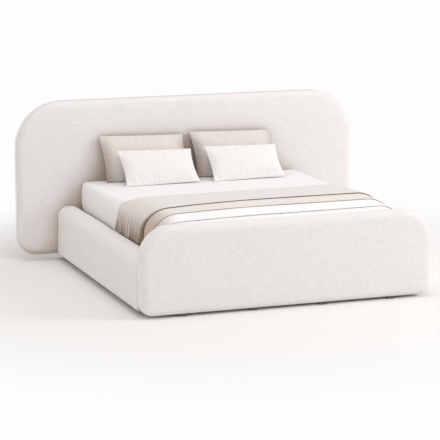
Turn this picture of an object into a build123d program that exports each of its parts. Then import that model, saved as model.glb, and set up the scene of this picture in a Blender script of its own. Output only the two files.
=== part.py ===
"""A box spring bed: padded headboard, footboard and rails round two sprung bases, a mattress and its bedding.

Millimetres. X runs across the bed, Y towards the head, Z up. The origin is on the floor, under the middle of
the whole bed.
"""

from build123d import *
from collections import namedtuple
from math import cos, radians, sin
import os

# Driving dimensions of the sleeping parts
mattress_width = 1800.0
mattress_length = 2000.0
mattress_height = 250.0
base_height = 196.0
support_height = 150.0
side_gap = 10.0
end_gap = 15.0

# Driving dimensions of the headboard
headboard_width = 2800.0
headboard_height = 1240.0
headboard_clearance = 45.0
headboard_thickness = 110.0
headboard_top_radius = 360.0
headboard_bottom_radius = 150.0
headboard_roll = 45.0
headboard_front_foam = 37.0

# Driving dimensions of the footboard
footboard_height = 640.0
footboard_clearance = 15.0
footboard_thickness = 130.0
footboard_top_radius = 230.0
footboard_bottom_radius = 95.0
footboard_roll = 55.0
footboard_front_foam = 37.0
footboard_inner_foam = 25.0
inner_board_thickness = 9.0

# Driving dimensions of the side rails
rail_thickness = 185.0
rail_height = 430.0
rail_clearance = 40.0
rail_top_radius = 80.0
rail_bottom_radius = 25.0
rail_side_foam = 62.0
rail_inner_foam = 20.0
rail_top_foam = 80.0
rail_board = 18.0
rail_block_length = 120.0
rail_block_count = 5

# Upholstery and joinery shared by the padded pieces
cover_thickness = 3.0
edge_padding = 50.0
least_corner = 8.0
roll_angles = (90.0, 60.0, 30.0, 0.0)
corner_steps = 5
panel_board = 15.0
stud_width = 60.0
stud_count = 4
joint_gap = 0.3
seat_gap = 0.3
overrun = 5.0

# Slats, ledgers, centre beam and its legs
slat_count = 7
slat_width = 95.0
slat_thickness = 20.0
slat_end_gap = 3.0
slat_corner = 4.0
ledger_width = 45.0
ledger_height = 45.0
beam_width = 60.0
beam_height = 60.0
beam_wall = 2.5
beam_corner = 3.0
hanger_thickness = 4.0
hanger_width = 130.0
hanger_length = 45.0
hanger_clearance = 0.5
leg_count = 3
leg_width = 40.0
leg_wall = 2.0
leg_plate_length = 100.0
leg_plate_thickness = 4.0
leg_glide_width = 44.0
leg_glide_height = 12.0
leg_glide_rim = 3.0
spigot_height = 25.0
foot_width = 46.0
foot_count = 4
foot_spread_share = 0.72

# Corner brackets and bolts
bracket_leg = 66.0
bracket_height = 56.0
bracket_thickness = 4.0
bolt_radius = 5.0
bolt_clearance = 0.3
bolt_head_radius = 9.0
bolt_head_height = 6.0
bolt_setback = 2.0
bolt_sides = 8
foam_cut_radius = 16.0
foam_cut_sides = 4

# Sprung bases
base_gap = 4.0
base_corner = 40.0
base_edge = 12.0
ticking_thickness = 2.0
base_pad_thickness = 30.0
base_rail_thickness = 25.0
base_slat_thickness = 18.0
base_slat_width = 80.0
base_slat_count = 7
dust_cloth_thickness = 1.5
base_spring_columns = 2
base_spring_rows = 5
pocket_gap_share = 0.34
link_width = 120.0
link_height = 40.0
link_thickness = 3.0
link_hole_radius = 3.5
link_height_share = 0.33

# Mattress
mattress_corner = 60.0
mattress_edge = 25.0
sheet_thickness = 1.5
sheet_tuck = 160.0
mattress_skin = 4.0
upper_foam = 60.0
lower_foam = 40.0
side_foam = 70.0
spring_columns = 5
spring_rows = 5

# Bed layers
duvet_loft = 73.0
duvet_shoulder = 110.0
duvet_side = 14.0
duvet_hem_drop = 221.0
coverlet_thickness = 2.7
blanket_thickness = 3.4
throw_thickness = 4.6
throw_hem_drop = 200.0
pleat_count = 9
pleat_depth = 13.0
pleat_rise = 60.0
pleat_shares = ((0.0, 0.0), (0.2, 0.7), (0.5, 1.0), (0.8, 0.7), (1.0, 0.0))
duvet_shoulder_share = 0.65
duvet_shares = (
    (0.4725, 0.16),
    (0.4525, 0.60),
    (0.345, 0.76),
    (0.1875, 1.02),
    (0.0925, 0.87),
    (0.0275, 0.53),
    (0.0025, 0.16),
)
layer_head_step = 2
throw_foot_step = 3
blanket_foot_step = 4
coverlet_foot_step = 5
throw_head_shares = (0.5075, 0.4875)

# Pillows
back_pillow_width = 690.0
back_pillow_height = 375.0
back_pillow_thickness = 170.0
back_pillow_lean = 20.0
front_pillow_width = 600.0
front_pillow_height = 320.0
front_pillow_thickness = 122.0
front_pillow_lean = 37.0
pillow_seam = 5.0
pillow_wall_gap = 8.0
pillow_nest = 196.0
left_back_pillow_x = -392.0
right_back_pillow_x = 352.0
left_front_pillow_x = -345.0
right_front_pillow_x = 366.0
pillow_draw_share = 0.03

# Sizes and places that follow from the driving dimensions
bed_width = mattress_width + 2 * (side_gap + rail_thickness)
inner_length = mattress_length + 2 * end_gap
bed_length = headboard_thickness + inner_length + footboard_thickness
head_back = bed_length / 2
head_face = head_back - headboard_thickness
foot_face = head_face - inner_length
middle_y = (head_face + foot_face) / 2
base_bottom = support_height + slat_thickness + seat_gap
base_top = base_bottom + base_height
mattress_bottom = base_top + seat_gap
mattress_top = mattress_bottom + mattress_height
mattress_foot = foot_face + end_gap
fixing_height = support_height - ledger_height / 2

Panel = namedtuple("Panel", "width bottom top bottom_radius top_radius back thickness roll")
headboard = Panel(
    headboard_width,
    headboard_clearance,
    headboard_height,
    headboard_bottom_radius,
    headboard_top_radius,
    head_back,
    headboard_thickness,
    headboard_roll,
)
footboard = Panel(
    bed_width,
    footboard_clearance,
    footboard_height,
    footboard_bottom_radius,
    footboard_top_radius,
    foot_face,
    footboard_thickness,
    footboard_roll,
)


def panel_face(panel, inset, y):
    """The rounded outline of a bed end, drawn in by inset and standing at y."""
    with BuildSketch(Plane.XZ.offset(-y)) as face:
        with Locations((0, (panel.bottom + panel.top) / 2)):
            Rectangle(panel.width - 2 * inset, panel.top - panel.bottom - 2 * inset)
        fillet(face.vertices().group_by(Axis.Y)[-1], max(panel.top_radius - inset, least_corner))
        fillet(face.vertices().group_by(Axis.Y)[0], max(panel.bottom_radius - inset, least_corner))
    return face.sketch


def stepped_outline(centre, width, height, upper_radius, lower_radius):
    """Points round a rectangle whose corners turn in flat steps."""
    points = []
    for quarter, radius in enumerate((upper_radius, upper_radius, lower_radius, lower_radius)):
        side = 1 if quarter in (0, 3) else -1
        level = 1 if quarter < 2 else -1
        turn_x = centre[0] + side * (width / 2 - radius)
        turn_y = centre[1] + level * (height / 2 - radius)
        for step in range(corner_steps + 1):
            angle = radians(90 * (quarter + step / corner_steps))
            points.append((turn_x + radius * cos(angle), turn_y + radius * sin(angle)))
    return points


def stepped_face(panel, inset, y):
    """The same outline with its corners turned in flat steps, for the layers under the cover."""
    outline = stepped_outline(
        (0, (panel.bottom + panel.top) / 2),
        panel.width - 2 * inset,
        panel.top - panel.bottom - 2 * inset,
        max(panel.top_radius - inset, least_corner),
        max(panel.bottom_radius - inset, least_corner),
    )
    with BuildSketch(Plane.XZ.offset(-y)) as face:
        Polygon(*outline, align=None)
    return face.sketch


def rolled_panel(panel):
    """A whole bed end with its front and back edges rolled over in flat steps."""
    front = panel.back - panel.thickness
    turns = [
        (panel.roll * (1 - cos(radians(angle))), panel.roll * (1 - sin(radians(angle))))
        for angle in roll_angles
    ]
    steps = [(inset, front + depth) for inset, depth in turns]
    steps += [(inset, panel.back - depth) for inset, depth in turns[::-1]]
    with BuildPart() as slab:
        loft([panel_face(panel, inset, y) for inset, y in steps], ruled=True)
    return slab.part


def panel_core(panel, inset):
    """A whole bed end drawn in by inset, with its front and back edges cut back."""
    with BuildPart() as core:
        extrude(stepped_face(panel, inset, panel.back - inset), amount=panel.thickness - 2 * inset)
        ends = core.faces().sort_by(Axis.Y)
        chamfer(ends[0].edges() + ends[-1].edges(), panel.roll - inset)
    return core.part


def plate(panel, inset, back, thickness):
    """A flat board with the bed end's outline, its corners sawn in flat steps."""
    with BuildPart() as board:
        extrude(stepped_face(panel, inset, back), amount=thickness)
    return board


def stud_frame(panel, back, depth):
    """Timber behind a panel board: straight rails and stiles, curved corner blocks and upright studs."""
    middle = (panel.bottom + panel.top) / 2
    half_height = (panel.top - panel.bottom) / 2
    stud_span = panel.width - 2 * panel.top_radius
    cut_plane = Plane.XZ.offset(-back)
    with BuildPart() as studs:
        extrude(stepped_face(panel, edge_padding + stud_width + joint_gap, back), amount=depth)
        with BuildSketch(cut_plane):
            with Locations((0, middle)):
                with GridLocations(stud_span / (stud_count - 1), 0, stud_count, 1):
                    Rectangle(stud_width, 2 * half_height)
        extrude(amount=depth, mode=Mode.INTERSECT)
    with BuildPart() as frame:
        extrude(stepped_face(panel, edge_padding, back), amount=depth)
        extrude(
            stepped_face(panel, edge_padding + stud_width, back), amount=depth, mode=Mode.SUBTRACT
        )
        with BuildSketch(cut_plane):
            with Locations((0, panel.top - panel.top_radius), (0, panel.bottom + panel.bottom_radius)):
                Rectangle(panel.width, joint_gap)
            for radius, level in ((panel.top_radius, 1), (panel.bottom_radius, -1)):
                with Locations((0, middle + level * half_height / 2)):
                    with GridLocations(panel.width - 2 * radius, 0, 2, 1):
                        Rectangle(joint_gap, half_height)
        extrude(amount=depth, mode=Mode.SUBTRACT)
        add(studs.part)
    return frame


def mirrored(piece):
    """The right-hand twin of a left-hand piece."""
    with BuildPart() as twin:
        mirror(piece.part, about=Plane.YZ)
    return twin


# Headboard and footboard layers, counted inwards from their faces
head_board_front = head_face + cover_thickness + headboard_front_foam
head_board_back = head_board_front + panel_board
head_lining_face = head_back - cover_thickness
head_stud_depth = head_lining_face - head_board_back
foot_inner_back = foot_face - cover_thickness - footboard_inner_foam
foot_stud_back = foot_inner_back - inner_board_thickness
foot_board_front = foot_face - footboard_thickness + cover_thickness + footboard_front_foam
foot_board_back = foot_board_front + panel_board
foot_stud_depth = foot_stud_back - foot_board_back

# The box beam inside each side rail
box_outer = bed_width / 2 - cover_thickness - rail_side_foam
box_inner = bed_width / 2 - rail_thickness + cover_thickness + rail_inner_foam
box_top = rail_height - cover_thickness - rail_top_foam
box_bottom = rail_clearance + cover_thickness
rail_hem = support_height + slat_thickness + overrun
rail_length = inner_length - 2 * joint_gap

# Bolt places: across the bed on the head and foot faces, and along the rails
face_bolt_x = (
    -(box_inner - bracket_leg / 2),
    -(beam_width + hanger_width) / 4 - hanger_thickness / 2,
    (beam_width + hanger_width) / 4 + hanger_thickness / 2,
    box_inner - bracket_leg / 2,
)
rail_bolt_y = (head_face - bracket_leg / 2, foot_face + bracket_leg / 2)
head_grip = head_board_back - head_face - bolt_setback
foot_grip = foot_face - foot_stud_back - bolt_setback


def face_shafts(radius, sides=bolt_sides):
    """Shafts through the brackets and hangers into the headboard and the footboard."""
    with BuildPart() as shafts:
        for face, normal, grip in ((head_face, 1, head_grip), (foot_face, -1, foot_grip)):
            bracket_face = face - normal * bracket_thickness
            start = Plane((0, bracket_face, fixing_height), x_dir=(1, 0, 0), z_dir=(0, normal, 0))
            with BuildSketch(start):
                with Locations(*[(x, 0) for x in face_bolt_x]):
                    RegularPolygon(radius, sides)
            extrude(amount=bracket_thickness + grip)
    return shafts.part


def rail_shafts(radius):
    """Shafts through the brackets into the side rails' inner boards."""
    with BuildPart() as shafts:
        for side in (1, -1):
            bracket_face = side * (box_inner - bracket_thickness)
            start = Plane((bracket_face, 0, fixing_height), x_dir=(0, 1, 0), z_dir=(side, 0, 0))
            with BuildSketch(start):
                with Locations(*[(y, 0) for y in rail_bolt_y]):
                    RegularPolygon(radius, bolt_sides)
            extrude(amount=bracket_thickness + rail_board)
    return shafts.part


# Headboard
with BuildPart() as headboard_cover:
    add(rolled_panel(headboard))
    add(panel_core(headboard, cover_thickness), mode=Mode.SUBTRACT)
    extrude(
        panel_face(headboard, edge_padding, head_back),
        amount=cover_thickness + overrun,
        mode=Mode.SUBTRACT,
    )
    add(face_shafts(bolt_radius + bolt_clearance), mode=Mode.SUBTRACT)

with BuildPart() as headboard_foam:
    add(panel_core(headboard, cover_thickness))
    extrude(
        stepped_face(headboard, edge_padding, head_lining_face),
        amount=head_lining_face - head_board_front,
        mode=Mode.SUBTRACT,
    )
    add(face_shafts(foam_cut_radius, foam_cut_sides), mode=Mode.SUBTRACT)

with BuildPart() as headboard_panel:
    add(plate(headboard, edge_padding, head_board_back, panel_board).part)
    add(face_shafts(bolt_radius + bolt_clearance), mode=Mode.SUBTRACT)

headboard_studs = stud_frame(headboard, head_lining_face, head_stud_depth)
with BuildPart() as headboard_lining:
    extrude(panel_face(headboard, edge_padding + joint_gap, head_back), amount=cover_thickness)

# Footboard
with BuildPart() as footboard_cover:
    add(rolled_panel(footboard))
    add(panel_core(footboard, cover_thickness), mode=Mode.SUBTRACT)
    add(face_shafts(bolt_radius + bolt_clearance), mode=Mode.SUBTRACT)

with BuildPart() as footboard_foam:
    add(panel_core(footboard, cover_thickness))
    extrude(
        stepped_face(footboard, edge_padding, foot_inner_back),
        amount=foot_inner_back - foot_board_front,
        mode=Mode.SUBTRACT,
    )
    add(face_shafts(foam_cut_radius, foam_cut_sides), mode=Mode.SUBTRACT)

footboard_panel = plate(footboard, edge_padding, foot_board_back, panel_board)
footboard_studs = stud_frame(footboard, foot_stud_back, foot_stud_depth)

with BuildPart() as footboard_inner_board:
    add(plate(footboard, edge_padding, foot_inner_back, inner_board_thickness).part)
    add(face_shafts(bolt_radius + bolt_clearance), mode=Mode.SUBTRACT)

# Feet in a row under each bed end
with BuildPart() as headboard_feet:
    with Locations((0, head_back - headboard_thickness / 2, headboard_clearance / 2)):
        with GridLocations(headboard_width * foot_spread_share / (foot_count - 1), 0, foot_count, 1):
            Box(foot_width, foot_width, headboard_clearance)

with BuildPart() as footboard_glides:
    with Locations((0, foot_face - footboard_thickness / 2, footboard_clearance / 2)):
        with GridLocations(bed_width * foot_spread_share / (foot_count - 1), 0, foot_count, 1):
            Box(foot_width, foot_width, footboard_clearance)

# Side rails: the box beam, its foam, its cover and the ledger that carries the slats
rail_plane = Plane.XZ.offset(-(head_face - joint_gap))


def rail_face(inset):
    """The left rail's cross section, drawn in by inset, with a round crest."""
    with BuildSketch(rail_plane) as face:
        with Locations((-(bed_width - rail_thickness) / 2, (rail_clearance + rail_height) / 2)):
            Rectangle(rail_thickness - 2 * inset, rail_height - rail_clearance - 2 * inset)
        fillet(face.vertices().group_by(Axis.Y)[-1], rail_top_radius - inset)
        fillet(face.vertices().group_by(Axis.Y)[0].sort_by(Axis.X)[0], rail_bottom_radius - inset)
    return face.sketch


def rail_block(x_outer, x_inner, z_low, z_high):
    """A rectangle in the left rail's section, from its outer to its inner side."""
    with Locations((-(x_outer + x_inner) / 2, (z_low + z_high) / 2)):
        Rectangle(x_outer - x_inner, z_high - z_low)


rail_inner_side = bed_width / 2 - rail_thickness

with BuildPart() as left_rail_cover:
    with BuildSketch(rail_plane) as cover_section:
        add(rail_face(0))
        add(rail_face(cover_thickness), mode=Mode.SUBTRACT)
        with BuildSketch(rail_plane, mode=Mode.SUBTRACT):
            rail_block(box_outer - rail_board, rail_inner_side - overrun, rail_clearance - overrun, rail_hem)
    extrude(amount=rail_length)

with BuildPart() as left_rail_foam:
    with BuildSketch(rail_plane):
        add(rail_face(cover_thickness))
        with BuildSketch(rail_plane, mode=Mode.SUBTRACT):
            rail_block(box_outer, box_inner, box_bottom - overrun, box_top)
            rail_block(box_outer, rail_inner_side - overrun, box_bottom - overrun, rail_hem)
    extrude(amount=rail_length)

block_span = rail_length - rail_block_length
with BuildPart() as left_rail_box:
    with BuildSketch(rail_plane):
        rail_block(box_outer, box_outer - rail_board, box_bottom, box_top - rail_board - joint_gap)
        rail_block(box_inner + rail_board, box_inner, box_bottom, box_top - rail_board - joint_gap)
        rail_block(box_outer, box_inner, box_top - rail_board, box_top)
    extrude(amount=rail_length)
    block_width = box_outer - box_inner - 2 * rail_board - 2 * joint_gap
    block_height = box_top - rail_board - 2 * joint_gap - box_bottom
    with Locations((-(box_outer + box_inner) / 2, middle_y, box_bottom + block_height / 2)):
        with GridLocations(0, block_span / (rail_block_count - 1), 1, rail_block_count):
            Box(block_width, rail_block_length, block_height)
    add(rail_shafts(bolt_radius + bolt_clearance), mode=Mode.SUBTRACT)

ledger_length = inner_length - 2 * (bracket_leg + overrun)
with BuildPart() as left_ledger:
    with Locations((-(box_inner - ledger_width / 2), middle_y, support_height - ledger_height / 2)):
        Box(ledger_width, ledger_length, ledger_height)

# Steel angles that join the rails to the headboard and the footboard
with BuildPart() as corner_brackets:
    for side in (-1, 1):
        for face, normal in ((head_face, 1), (foot_face, -1)):
            with Locations((side * box_inner, face, fixing_height)):
                Box(
                    bracket_leg,
                    bracket_thickness,
                    bracket_height,
                    align=(
                        Align.MIN if side < 0 else Align.MAX,
                        Align.MAX if normal > 0 else Align.MIN,
                        Align.CENTER,
                    ),
                )
                Box(
                    bracket_thickness,
                    bracket_leg,
                    bracket_height,
                    align=(
                        Align.MIN if side < 0 else Align.MAX,
                        Align.MAX if normal > 0 else Align.MIN,
                        Align.CENTER,
                    ),
                )
    add(face_shafts(bolt_radius + bolt_clearance), mode=Mode.SUBTRACT)
    add(rail_shafts(bolt_radius + bolt_clearance), mode=Mode.SUBTRACT)


def bolt_heads():
    """Hexagon heads that lie on the brackets and hangers."""
    with BuildPart() as heads:
        for face, normal in ((head_face, 1), (foot_face, -1)):
            bracket_face = face - normal * bracket_thickness
            seat = Plane((0, bracket_face, fixing_height), x_dir=(1, 0, 0), z_dir=(0, -normal, 0))
            with BuildSketch(seat):
                with Locations(*[(x, 0) for x in face_bolt_x]):
                    RegularPolygon(bolt_head_radius, 6)
            extrude(amount=bolt_head_height)
        for side in (1, -1):
            bracket_face = side * (box_inner - bracket_thickness)
            seat = Plane((bracket_face, 0, fixing_height), x_dir=(0, 1, 0), z_dir=(-side, 0, 0))
            with BuildSketch(seat):
                with Locations(*[(y, 0) for y in rail_bolt_y]):
                    RegularPolygon(bolt_head_radius, 6)
            extrude(amount=bolt_head_height)
    return heads.part


with BuildPart() as bracket_bolts:
    add(face_shafts(bolt_radius))
    add(rail_shafts(bolt_radius))
    add(bolt_heads())

# Centre beam on its hangers, with legs under it
beam_length = inner_length - 2 * (hanger_thickness + joint_gap)
with BuildPart() as centre_beam:
    with BuildSketch(Plane.XZ.offset(-(head_face - hanger_thickness - joint_gap))) as beam_section:
        with Locations((0, support_height - beam_height / 2)):
            Rectangle(beam_width, beam_height)
            chamfer(beam_section.vertices(), beam_corner)
            Rectangle(beam_width - 2 * beam_wall, beam_height - 2 * beam_wall, mode=Mode.SUBTRACT)
    extrude(amount=beam_length)

cup_width = beam_width + 2 * (hanger_clearance + hanger_thickness)
cup_bottom = support_height - beam_height - hanger_clearance - hanger_thickness
with BuildPart() as beam_hangers:
    for face, normal in ((head_face, 1), (foot_face, -1)):
        start = Plane((0, face, 0), x_dir=(normal, 0, 0), z_dir=(0, -normal, 0))
        with BuildSketch(start):
            with Locations((0, (cup_bottom + support_height) / 2)):
                Rectangle(hanger_width, support_height - cup_bottom)
        extrude(amount=hanger_thickness)
        with BuildSketch(start):
            with Locations((0, (cup_bottom + support_height) / 2)):
                Rectangle(cup_width, support_height - cup_bottom)
            with Locations((0, support_height)):
                Rectangle(
                    beam_width + 2 * hanger_clearance,
                    2 * (beam_height + hanger_clearance),
                    mode=Mode.SUBTRACT,
                )
        extrude(amount=hanger_length)
    add(face_shafts(bolt_radius + bolt_clearance), mode=Mode.SUBTRACT)

beam_bottom = support_height - beam_height
leg_pitch = inner_length / (leg_count + 1)
leg_tube_height = beam_bottom - leg_plate_thickness - leg_glide_height
tube_bore = leg_width - 2 * leg_wall
with BuildPart() as centre_legs:
    with Locations((0, middle_y)):
        with GridLocations(0, leg_pitch, 1, leg_count):
            with Locations((0, 0, beam_bottom - leg_plate_thickness / 2)):
                Box(beam_width, leg_plate_length, leg_plate_thickness)
            with Locations((0, 0, leg_glide_height + leg_tube_height / 2)):
                Box(leg_width, leg_width, leg_tube_height)
                Box(tube_bore, tube_bore, leg_tube_height, mode=Mode.SUBTRACT)

with BuildPart() as leg_glides:
    with Locations((0, middle_y)):
        with GridLocations(0, leg_pitch, 1, leg_count):
            with Locations((0, 0, leg_glide_height / 2)):
                Box(leg_glide_width, leg_glide_width, leg_glide_height)
            with Locations((0, 0, leg_glide_height + spigot_height / 2)):
                Box(tube_bore - 2 * joint_gap, tube_bore - 2 * joint_gap, spigot_height)
    chamfer(leg_glides.edges().group_by(Axis.Z)[0], leg_glide_rim)

# Cross slats, each resting on both ledgers and the centre beam
slat_length = 2 * (box_inner - slat_end_gap)
slat_pitch = (ledger_length - slat_width) / (slat_count - 1)
slat_middle_height = support_height + slat_thickness / 2
slats = {}
for step in range(slat_count):
    with BuildPart() as slat:
        with Locations((0, middle_y + (step - (slat_count - 1) / 2) * slat_pitch, slat_middle_height)):
            Box(slat_length, slat_width, slat_thickness)
        chamfer(slat.edges().filter_by(Axis.X), slat_corner)
    slats[f"slat_{step + 1}"] = slat

# The left sprung base; the right one is its twin
base_side = mattress_width / 2
base_x = -(base_side + base_gap / 2) / 2
base_width = base_side - base_gap / 2
base_length = mattress_length


def stepped_block(plan_x, width, length, corner, bottom, top):
    """A block whose upright corners turn in flat steps, for the layers under a cover."""
    with BuildPart() as block:
        with BuildSketch(Plane.XY.offset(bottom)):
            Polygon(*stepped_outline((plan_x, middle_y), width, length, corner, corner), align=None)
        extrude(amount=top - bottom)
    return block


def base_block(inset, bottom, top):
    """A block on the left base's plan, drawn in by inset."""
    return stepped_block(
        base_x, base_width - 2 * inset, base_length - 2 * inset, base_corner - inset, bottom, top
    )


pad_top = base_top - ticking_thickness
pad_bottom = pad_top - base_pad_thickness
dust_top = base_bottom + dust_cloth_thickness
frame_inset = ticking_thickness + joint_gap
spring_bottom = dust_top + base_slat_thickness

with BuildPart() as ticking_hollow:
    add(base_block(ticking_thickness, base_bottom - overrun, pad_top).part)
    chamfer(ticking_hollow.faces().sort_by(Axis.Z)[-1].edges(), base_edge - ticking_thickness)

with BuildPart() as left_base_ticking:
    with BuildSketch(Plane.XY.offset(base_bottom)):
        with Locations((base_x, middle_y)):
            RectangleRounded(base_width, base_length, base_corner)
    extrude(amount=base_height)
    chamfer(left_base_ticking.faces().sort_by(Axis.Z)[-1].edges(), base_edge)
    add(ticking_hollow.part, mode=Mode.SUBTRACT)

pad_inset = frame_inset + base_edge - ticking_thickness
left_base_pad = base_block(pad_inset, pad_bottom, pad_top - joint_gap)
left_base_dust_cloth = base_block(frame_inset, base_bottom, dust_top)

frame_length = base_length - 2 * frame_inset
with BuildPart() as left_base_frame:
    add(base_block(frame_inset, dust_top, pad_bottom).part)
    with BuildSketch(Plane.XY.offset(dust_top)):
        with Locations((base_x, middle_y)):
            Rectangle(
                base_width - 2 * frame_inset - 2 * base_rail_thickness, frame_length - 2 * base_rail_thickness
            )
    extrude(amount=pad_bottom - dust_top, mode=Mode.SUBTRACT)
    base_slat_pitch = (frame_length - 2 * base_rail_thickness - base_slat_width) / (base_slat_count - 1)
    with Locations((base_x, middle_y, dust_top + base_slat_thickness / 2)):
        with GridLocations(0, base_slat_pitch, 1, base_slat_count):
            Box(base_width - 2 * frame_inset - 2 * base_rail_thickness, base_slat_width, base_slat_thickness)


def spring_unit(centre_x, centre_y, width, length, columns, rows, bottom, top):
    """Pocketed springs pressed together, with a diamond gap left between every four pockets."""
    pitch_x = width / columns
    pitch_y = length / rows
    gap_side = min(pitch_x, pitch_y) * pocket_gap_share
    with BuildPart() as unit:
        with BuildSketch(Plane.XY.offset(bottom)):
            with Locations((centre_x, centre_y)):
                Rectangle(width, length)
                with GridLocations(pitch_x, pitch_y, columns + 1, rows + 1):
                    Rectangle(gap_side, gap_side, rotation=45, mode=Mode.SUBTRACT)
        extrude(amount=top - bottom)
    return unit


spring_width = base_width - 2 * (frame_inset + base_rail_thickness + joint_gap)
spring_length = frame_length - 2 * (base_rail_thickness + joint_gap)
left_base_springs = spring_unit(
    base_x,
    middle_y,
    spring_width,
    spring_length,
    base_spring_columns,
    base_spring_rows,
    spring_bottom,
    pad_bottom,
)

# Plates that hold the two bases together at the head and the foot
link_level = base_bottom + base_height * link_height_share
with BuildPart() as base_links:
    for end in (1, -1):
        start = Plane((0, middle_y + end * base_length / 2, link_level), x_dir=(1, 0, 0), z_dir=(0, end, 0))
        with BuildSketch(start):
            Rectangle(link_width, link_height)
            with GridLocations(link_width / 2, 0, 2, 1):
                RegularPolygon(link_hole_radius, bolt_sides, mode=Mode.SUBTRACT)
        extrude(amount=link_thickness)


# Mattress
def mattress_block(inset, bottom, top):
    """A block on the mattress's plan, drawn in by inset."""
    return stepped_block(
        0, mattress_width - 2 * inset, mattress_length - 2 * inset, mattress_corner - inset, bottom, top
    )


def mattress_fill(inset):
    """The mattress drawn in by inset, with its top and bottom edges cut back."""
    with BuildPart() as block:
        add(mattress_block(inset, mattress_bottom + inset, mattress_top - inset).part)
        levels = block.faces().sort_by(Axis.Z)
        chamfer(levels[0].edges() + levels[-1].edges(), mattress_edge - inset)
    return block.part


core_inset = sheet_thickness + mattress_skin
core_bottom = mattress_bottom + core_inset + lower_foam
core_top = mattress_top - core_inset - upper_foam

with BuildPart() as fitted_sheet:
    with BuildSketch(Plane.XY.offset(mattress_bottom)):
        with Locations((0, middle_y)):
            RectangleRounded(mattress_width, mattress_length, mattress_corner)
    extrude(amount=mattress_height)
    sheet_levels = fitted_sheet.faces().sort_by(Axis.Z)
    chamfer(sheet_levels[0].edges() + sheet_levels[-1].edges(), mattress_edge)
    add(mattress_fill(sheet_thickness), mode=Mode.SUBTRACT)
    with BuildSketch(Plane.XY.offset(mattress_bottom)):
        with Locations((0, middle_y)):
            Rectangle(mattress_width - 2 * sheet_tuck, mattress_length - 2 * sheet_tuck)
    extrude(amount=sheet_thickness, mode=Mode.SUBTRACT)

with BuildPart() as mattress_cover:
    add(mattress_fill(sheet_thickness))
    add(mattress_fill(core_inset), mode=Mode.SUBTRACT)

with BuildPart() as mattress_lower_foam:
    add(mattress_fill(core_inset))
    split(bisect_by=Plane.XY.offset(core_bottom), keep=Keep.BOTTOM)

with BuildPart() as mattress_upper_foam:
    add(mattress_fill(core_inset))
    split(bisect_by=Plane.XY.offset(core_top), keep=Keep.TOP)

core_width = mattress_width - 2 * (core_inset + side_foam)
core_length = mattress_length - 2 * (core_inset + side_foam)
with BuildPart() as mattress_side_foam:
    add(mattress_block(core_inset, core_bottom, core_top).part)
    with BuildSketch(Plane.XY.offset(core_bottom)):
        with Locations((0, middle_y)):
            Rectangle(core_width, core_length)
    extrude(amount=core_top - core_bottom, mode=Mode.SUBTRACT)

mattress_springs = spring_unit(
    0,
    middle_y,
    core_width - 2 * joint_gap,
    core_length - 2 * joint_gap,
    spring_columns,
    spring_rows,
    core_bottom,
    core_top,
)


# Bed layers: a mound over the mattress, each layer grown outwards from the one below
duvet_hem = mattress_top - duvet_hem_drop
side_x = mattress_width / 2 + duvet_side
duvet_shoulder_height = mattress_top + duvet_shoulder_share * duvet_loft


def place(share):
    """The place along the bed at a share of the mattress's length from its foot end."""
    return mattress_foot + share * mattress_length


duvet_line = [(place(share), mattress_top + crown * duvet_loft) for share, crown in duvet_shares]
duvet_head = duvet_line[0][0]
duvet_foot = duvet_line[-1][0]
layer_head = duvet_line[layer_head_step][0]


def mound(side_line, lift, head, foot, hem):
    """The made bed raised by lift, between two places along it and down to a hem."""
    radius = duvet_shoulder + lift
    side = side_x + lift
    flat = side - radius
    shoulder = duvet_shoulder_height + lift
    crown = mattress_top + duvet_loft + lift
    points = [(y, z + lift) for y, z in side_line]
    floor = [(points[-1][0], hem), (points[0][0], hem)]
    with BuildPart() as solid:
        with BuildSketch(Plane.XZ.offset(-head)):
            with BuildLine():
                Polyline((-side, shoulder - radius), (-side, hem), (side, hem), (side, shoulder - radius))
                CenterArc((flat, shoulder - radius), radius, 0, 90)
                ThreePointArc((flat, shoulder), (0, crown), (-flat, shoulder))
                CenterArc((-flat, shoulder - radius), radius, 90, 90)
            make_face()
        extrude(amount=head - foot)
        with BuildSketch(Plane.YZ.offset(-side - overrun)):
            Polygon(*points, *floor, align=None)
        extrude(amount=2 * (side + overrun), mode=Mode.INTERSECT)
    return solid.part


def layer(side_line, lift, thickness, head, foot, hem):
    """A bed layer: the mound over it less the mound under it."""
    with BuildPart() as cloth:
        add(mound(side_line, lift + thickness, head, foot, hem))
        add(mound(side_line, lift, head + overrun, foot - overrun, hem - overrun), mode=Mode.SUBTRACT)
    return cloth


with BuildPart() as duvet:
    add(mound(duvet_line, 0, duvet_head, duvet_foot, duvet_hem))
    with BuildSketch(Plane.XZ.offset(-duvet_head - overrun)) as bed_section:
        with Locations((0, (mattress_bottom + mattress_top) / 2)):
            Rectangle(mattress_width + 2 * seat_gap, mattress_height + 2 * seat_gap)
        fillet(bed_section.vertices().group_by(Axis.Y)[-1], mattress_edge + seat_gap)
    extrude(amount=duvet_head - duvet_foot + 2 * overrun, mode=Mode.SUBTRACT)

coverlet_foot = duvet_line[coverlet_foot_step][0]
coverlet = layer(duvet_line, seat_gap, coverlet_thickness, layer_head, coverlet_foot, duvet_hem)

blanket_lift = coverlet_thickness + 2 * seat_gap
blanket_foot = duvet_line[blanket_foot_step][0]
blanket = layer(duvet_line, blanket_lift, blanket_thickness, layer_head, blanket_foot, duvet_hem)

# The throw lies on the sheet at its head edge, climbs over the duvet and covers the blanket
throw_lift = blanket_lift + blanket_thickness + seat_gap
throw_rest = mattress_top + 2 * seat_gap - throw_lift
throw_head = place(throw_head_shares[0])
throw_foot = duvet_line[throw_foot_step][0]
throw_line = [
    (throw_head + 2 * overrun, throw_rest),
    (place(throw_head_shares[1]), throw_rest),
    *duvet_line,
]
skirt_top = duvet_shoulder_height - duvet_shoulder - overrun
throw_hem = mattress_top - throw_hem_drop
pleat_pitch = (throw_head - throw_foot) / pleat_count
fold_thickness = throw_thickness - 4 * seat_gap
skirt_inner = -(side_x + throw_lift + seat_gap)


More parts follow.
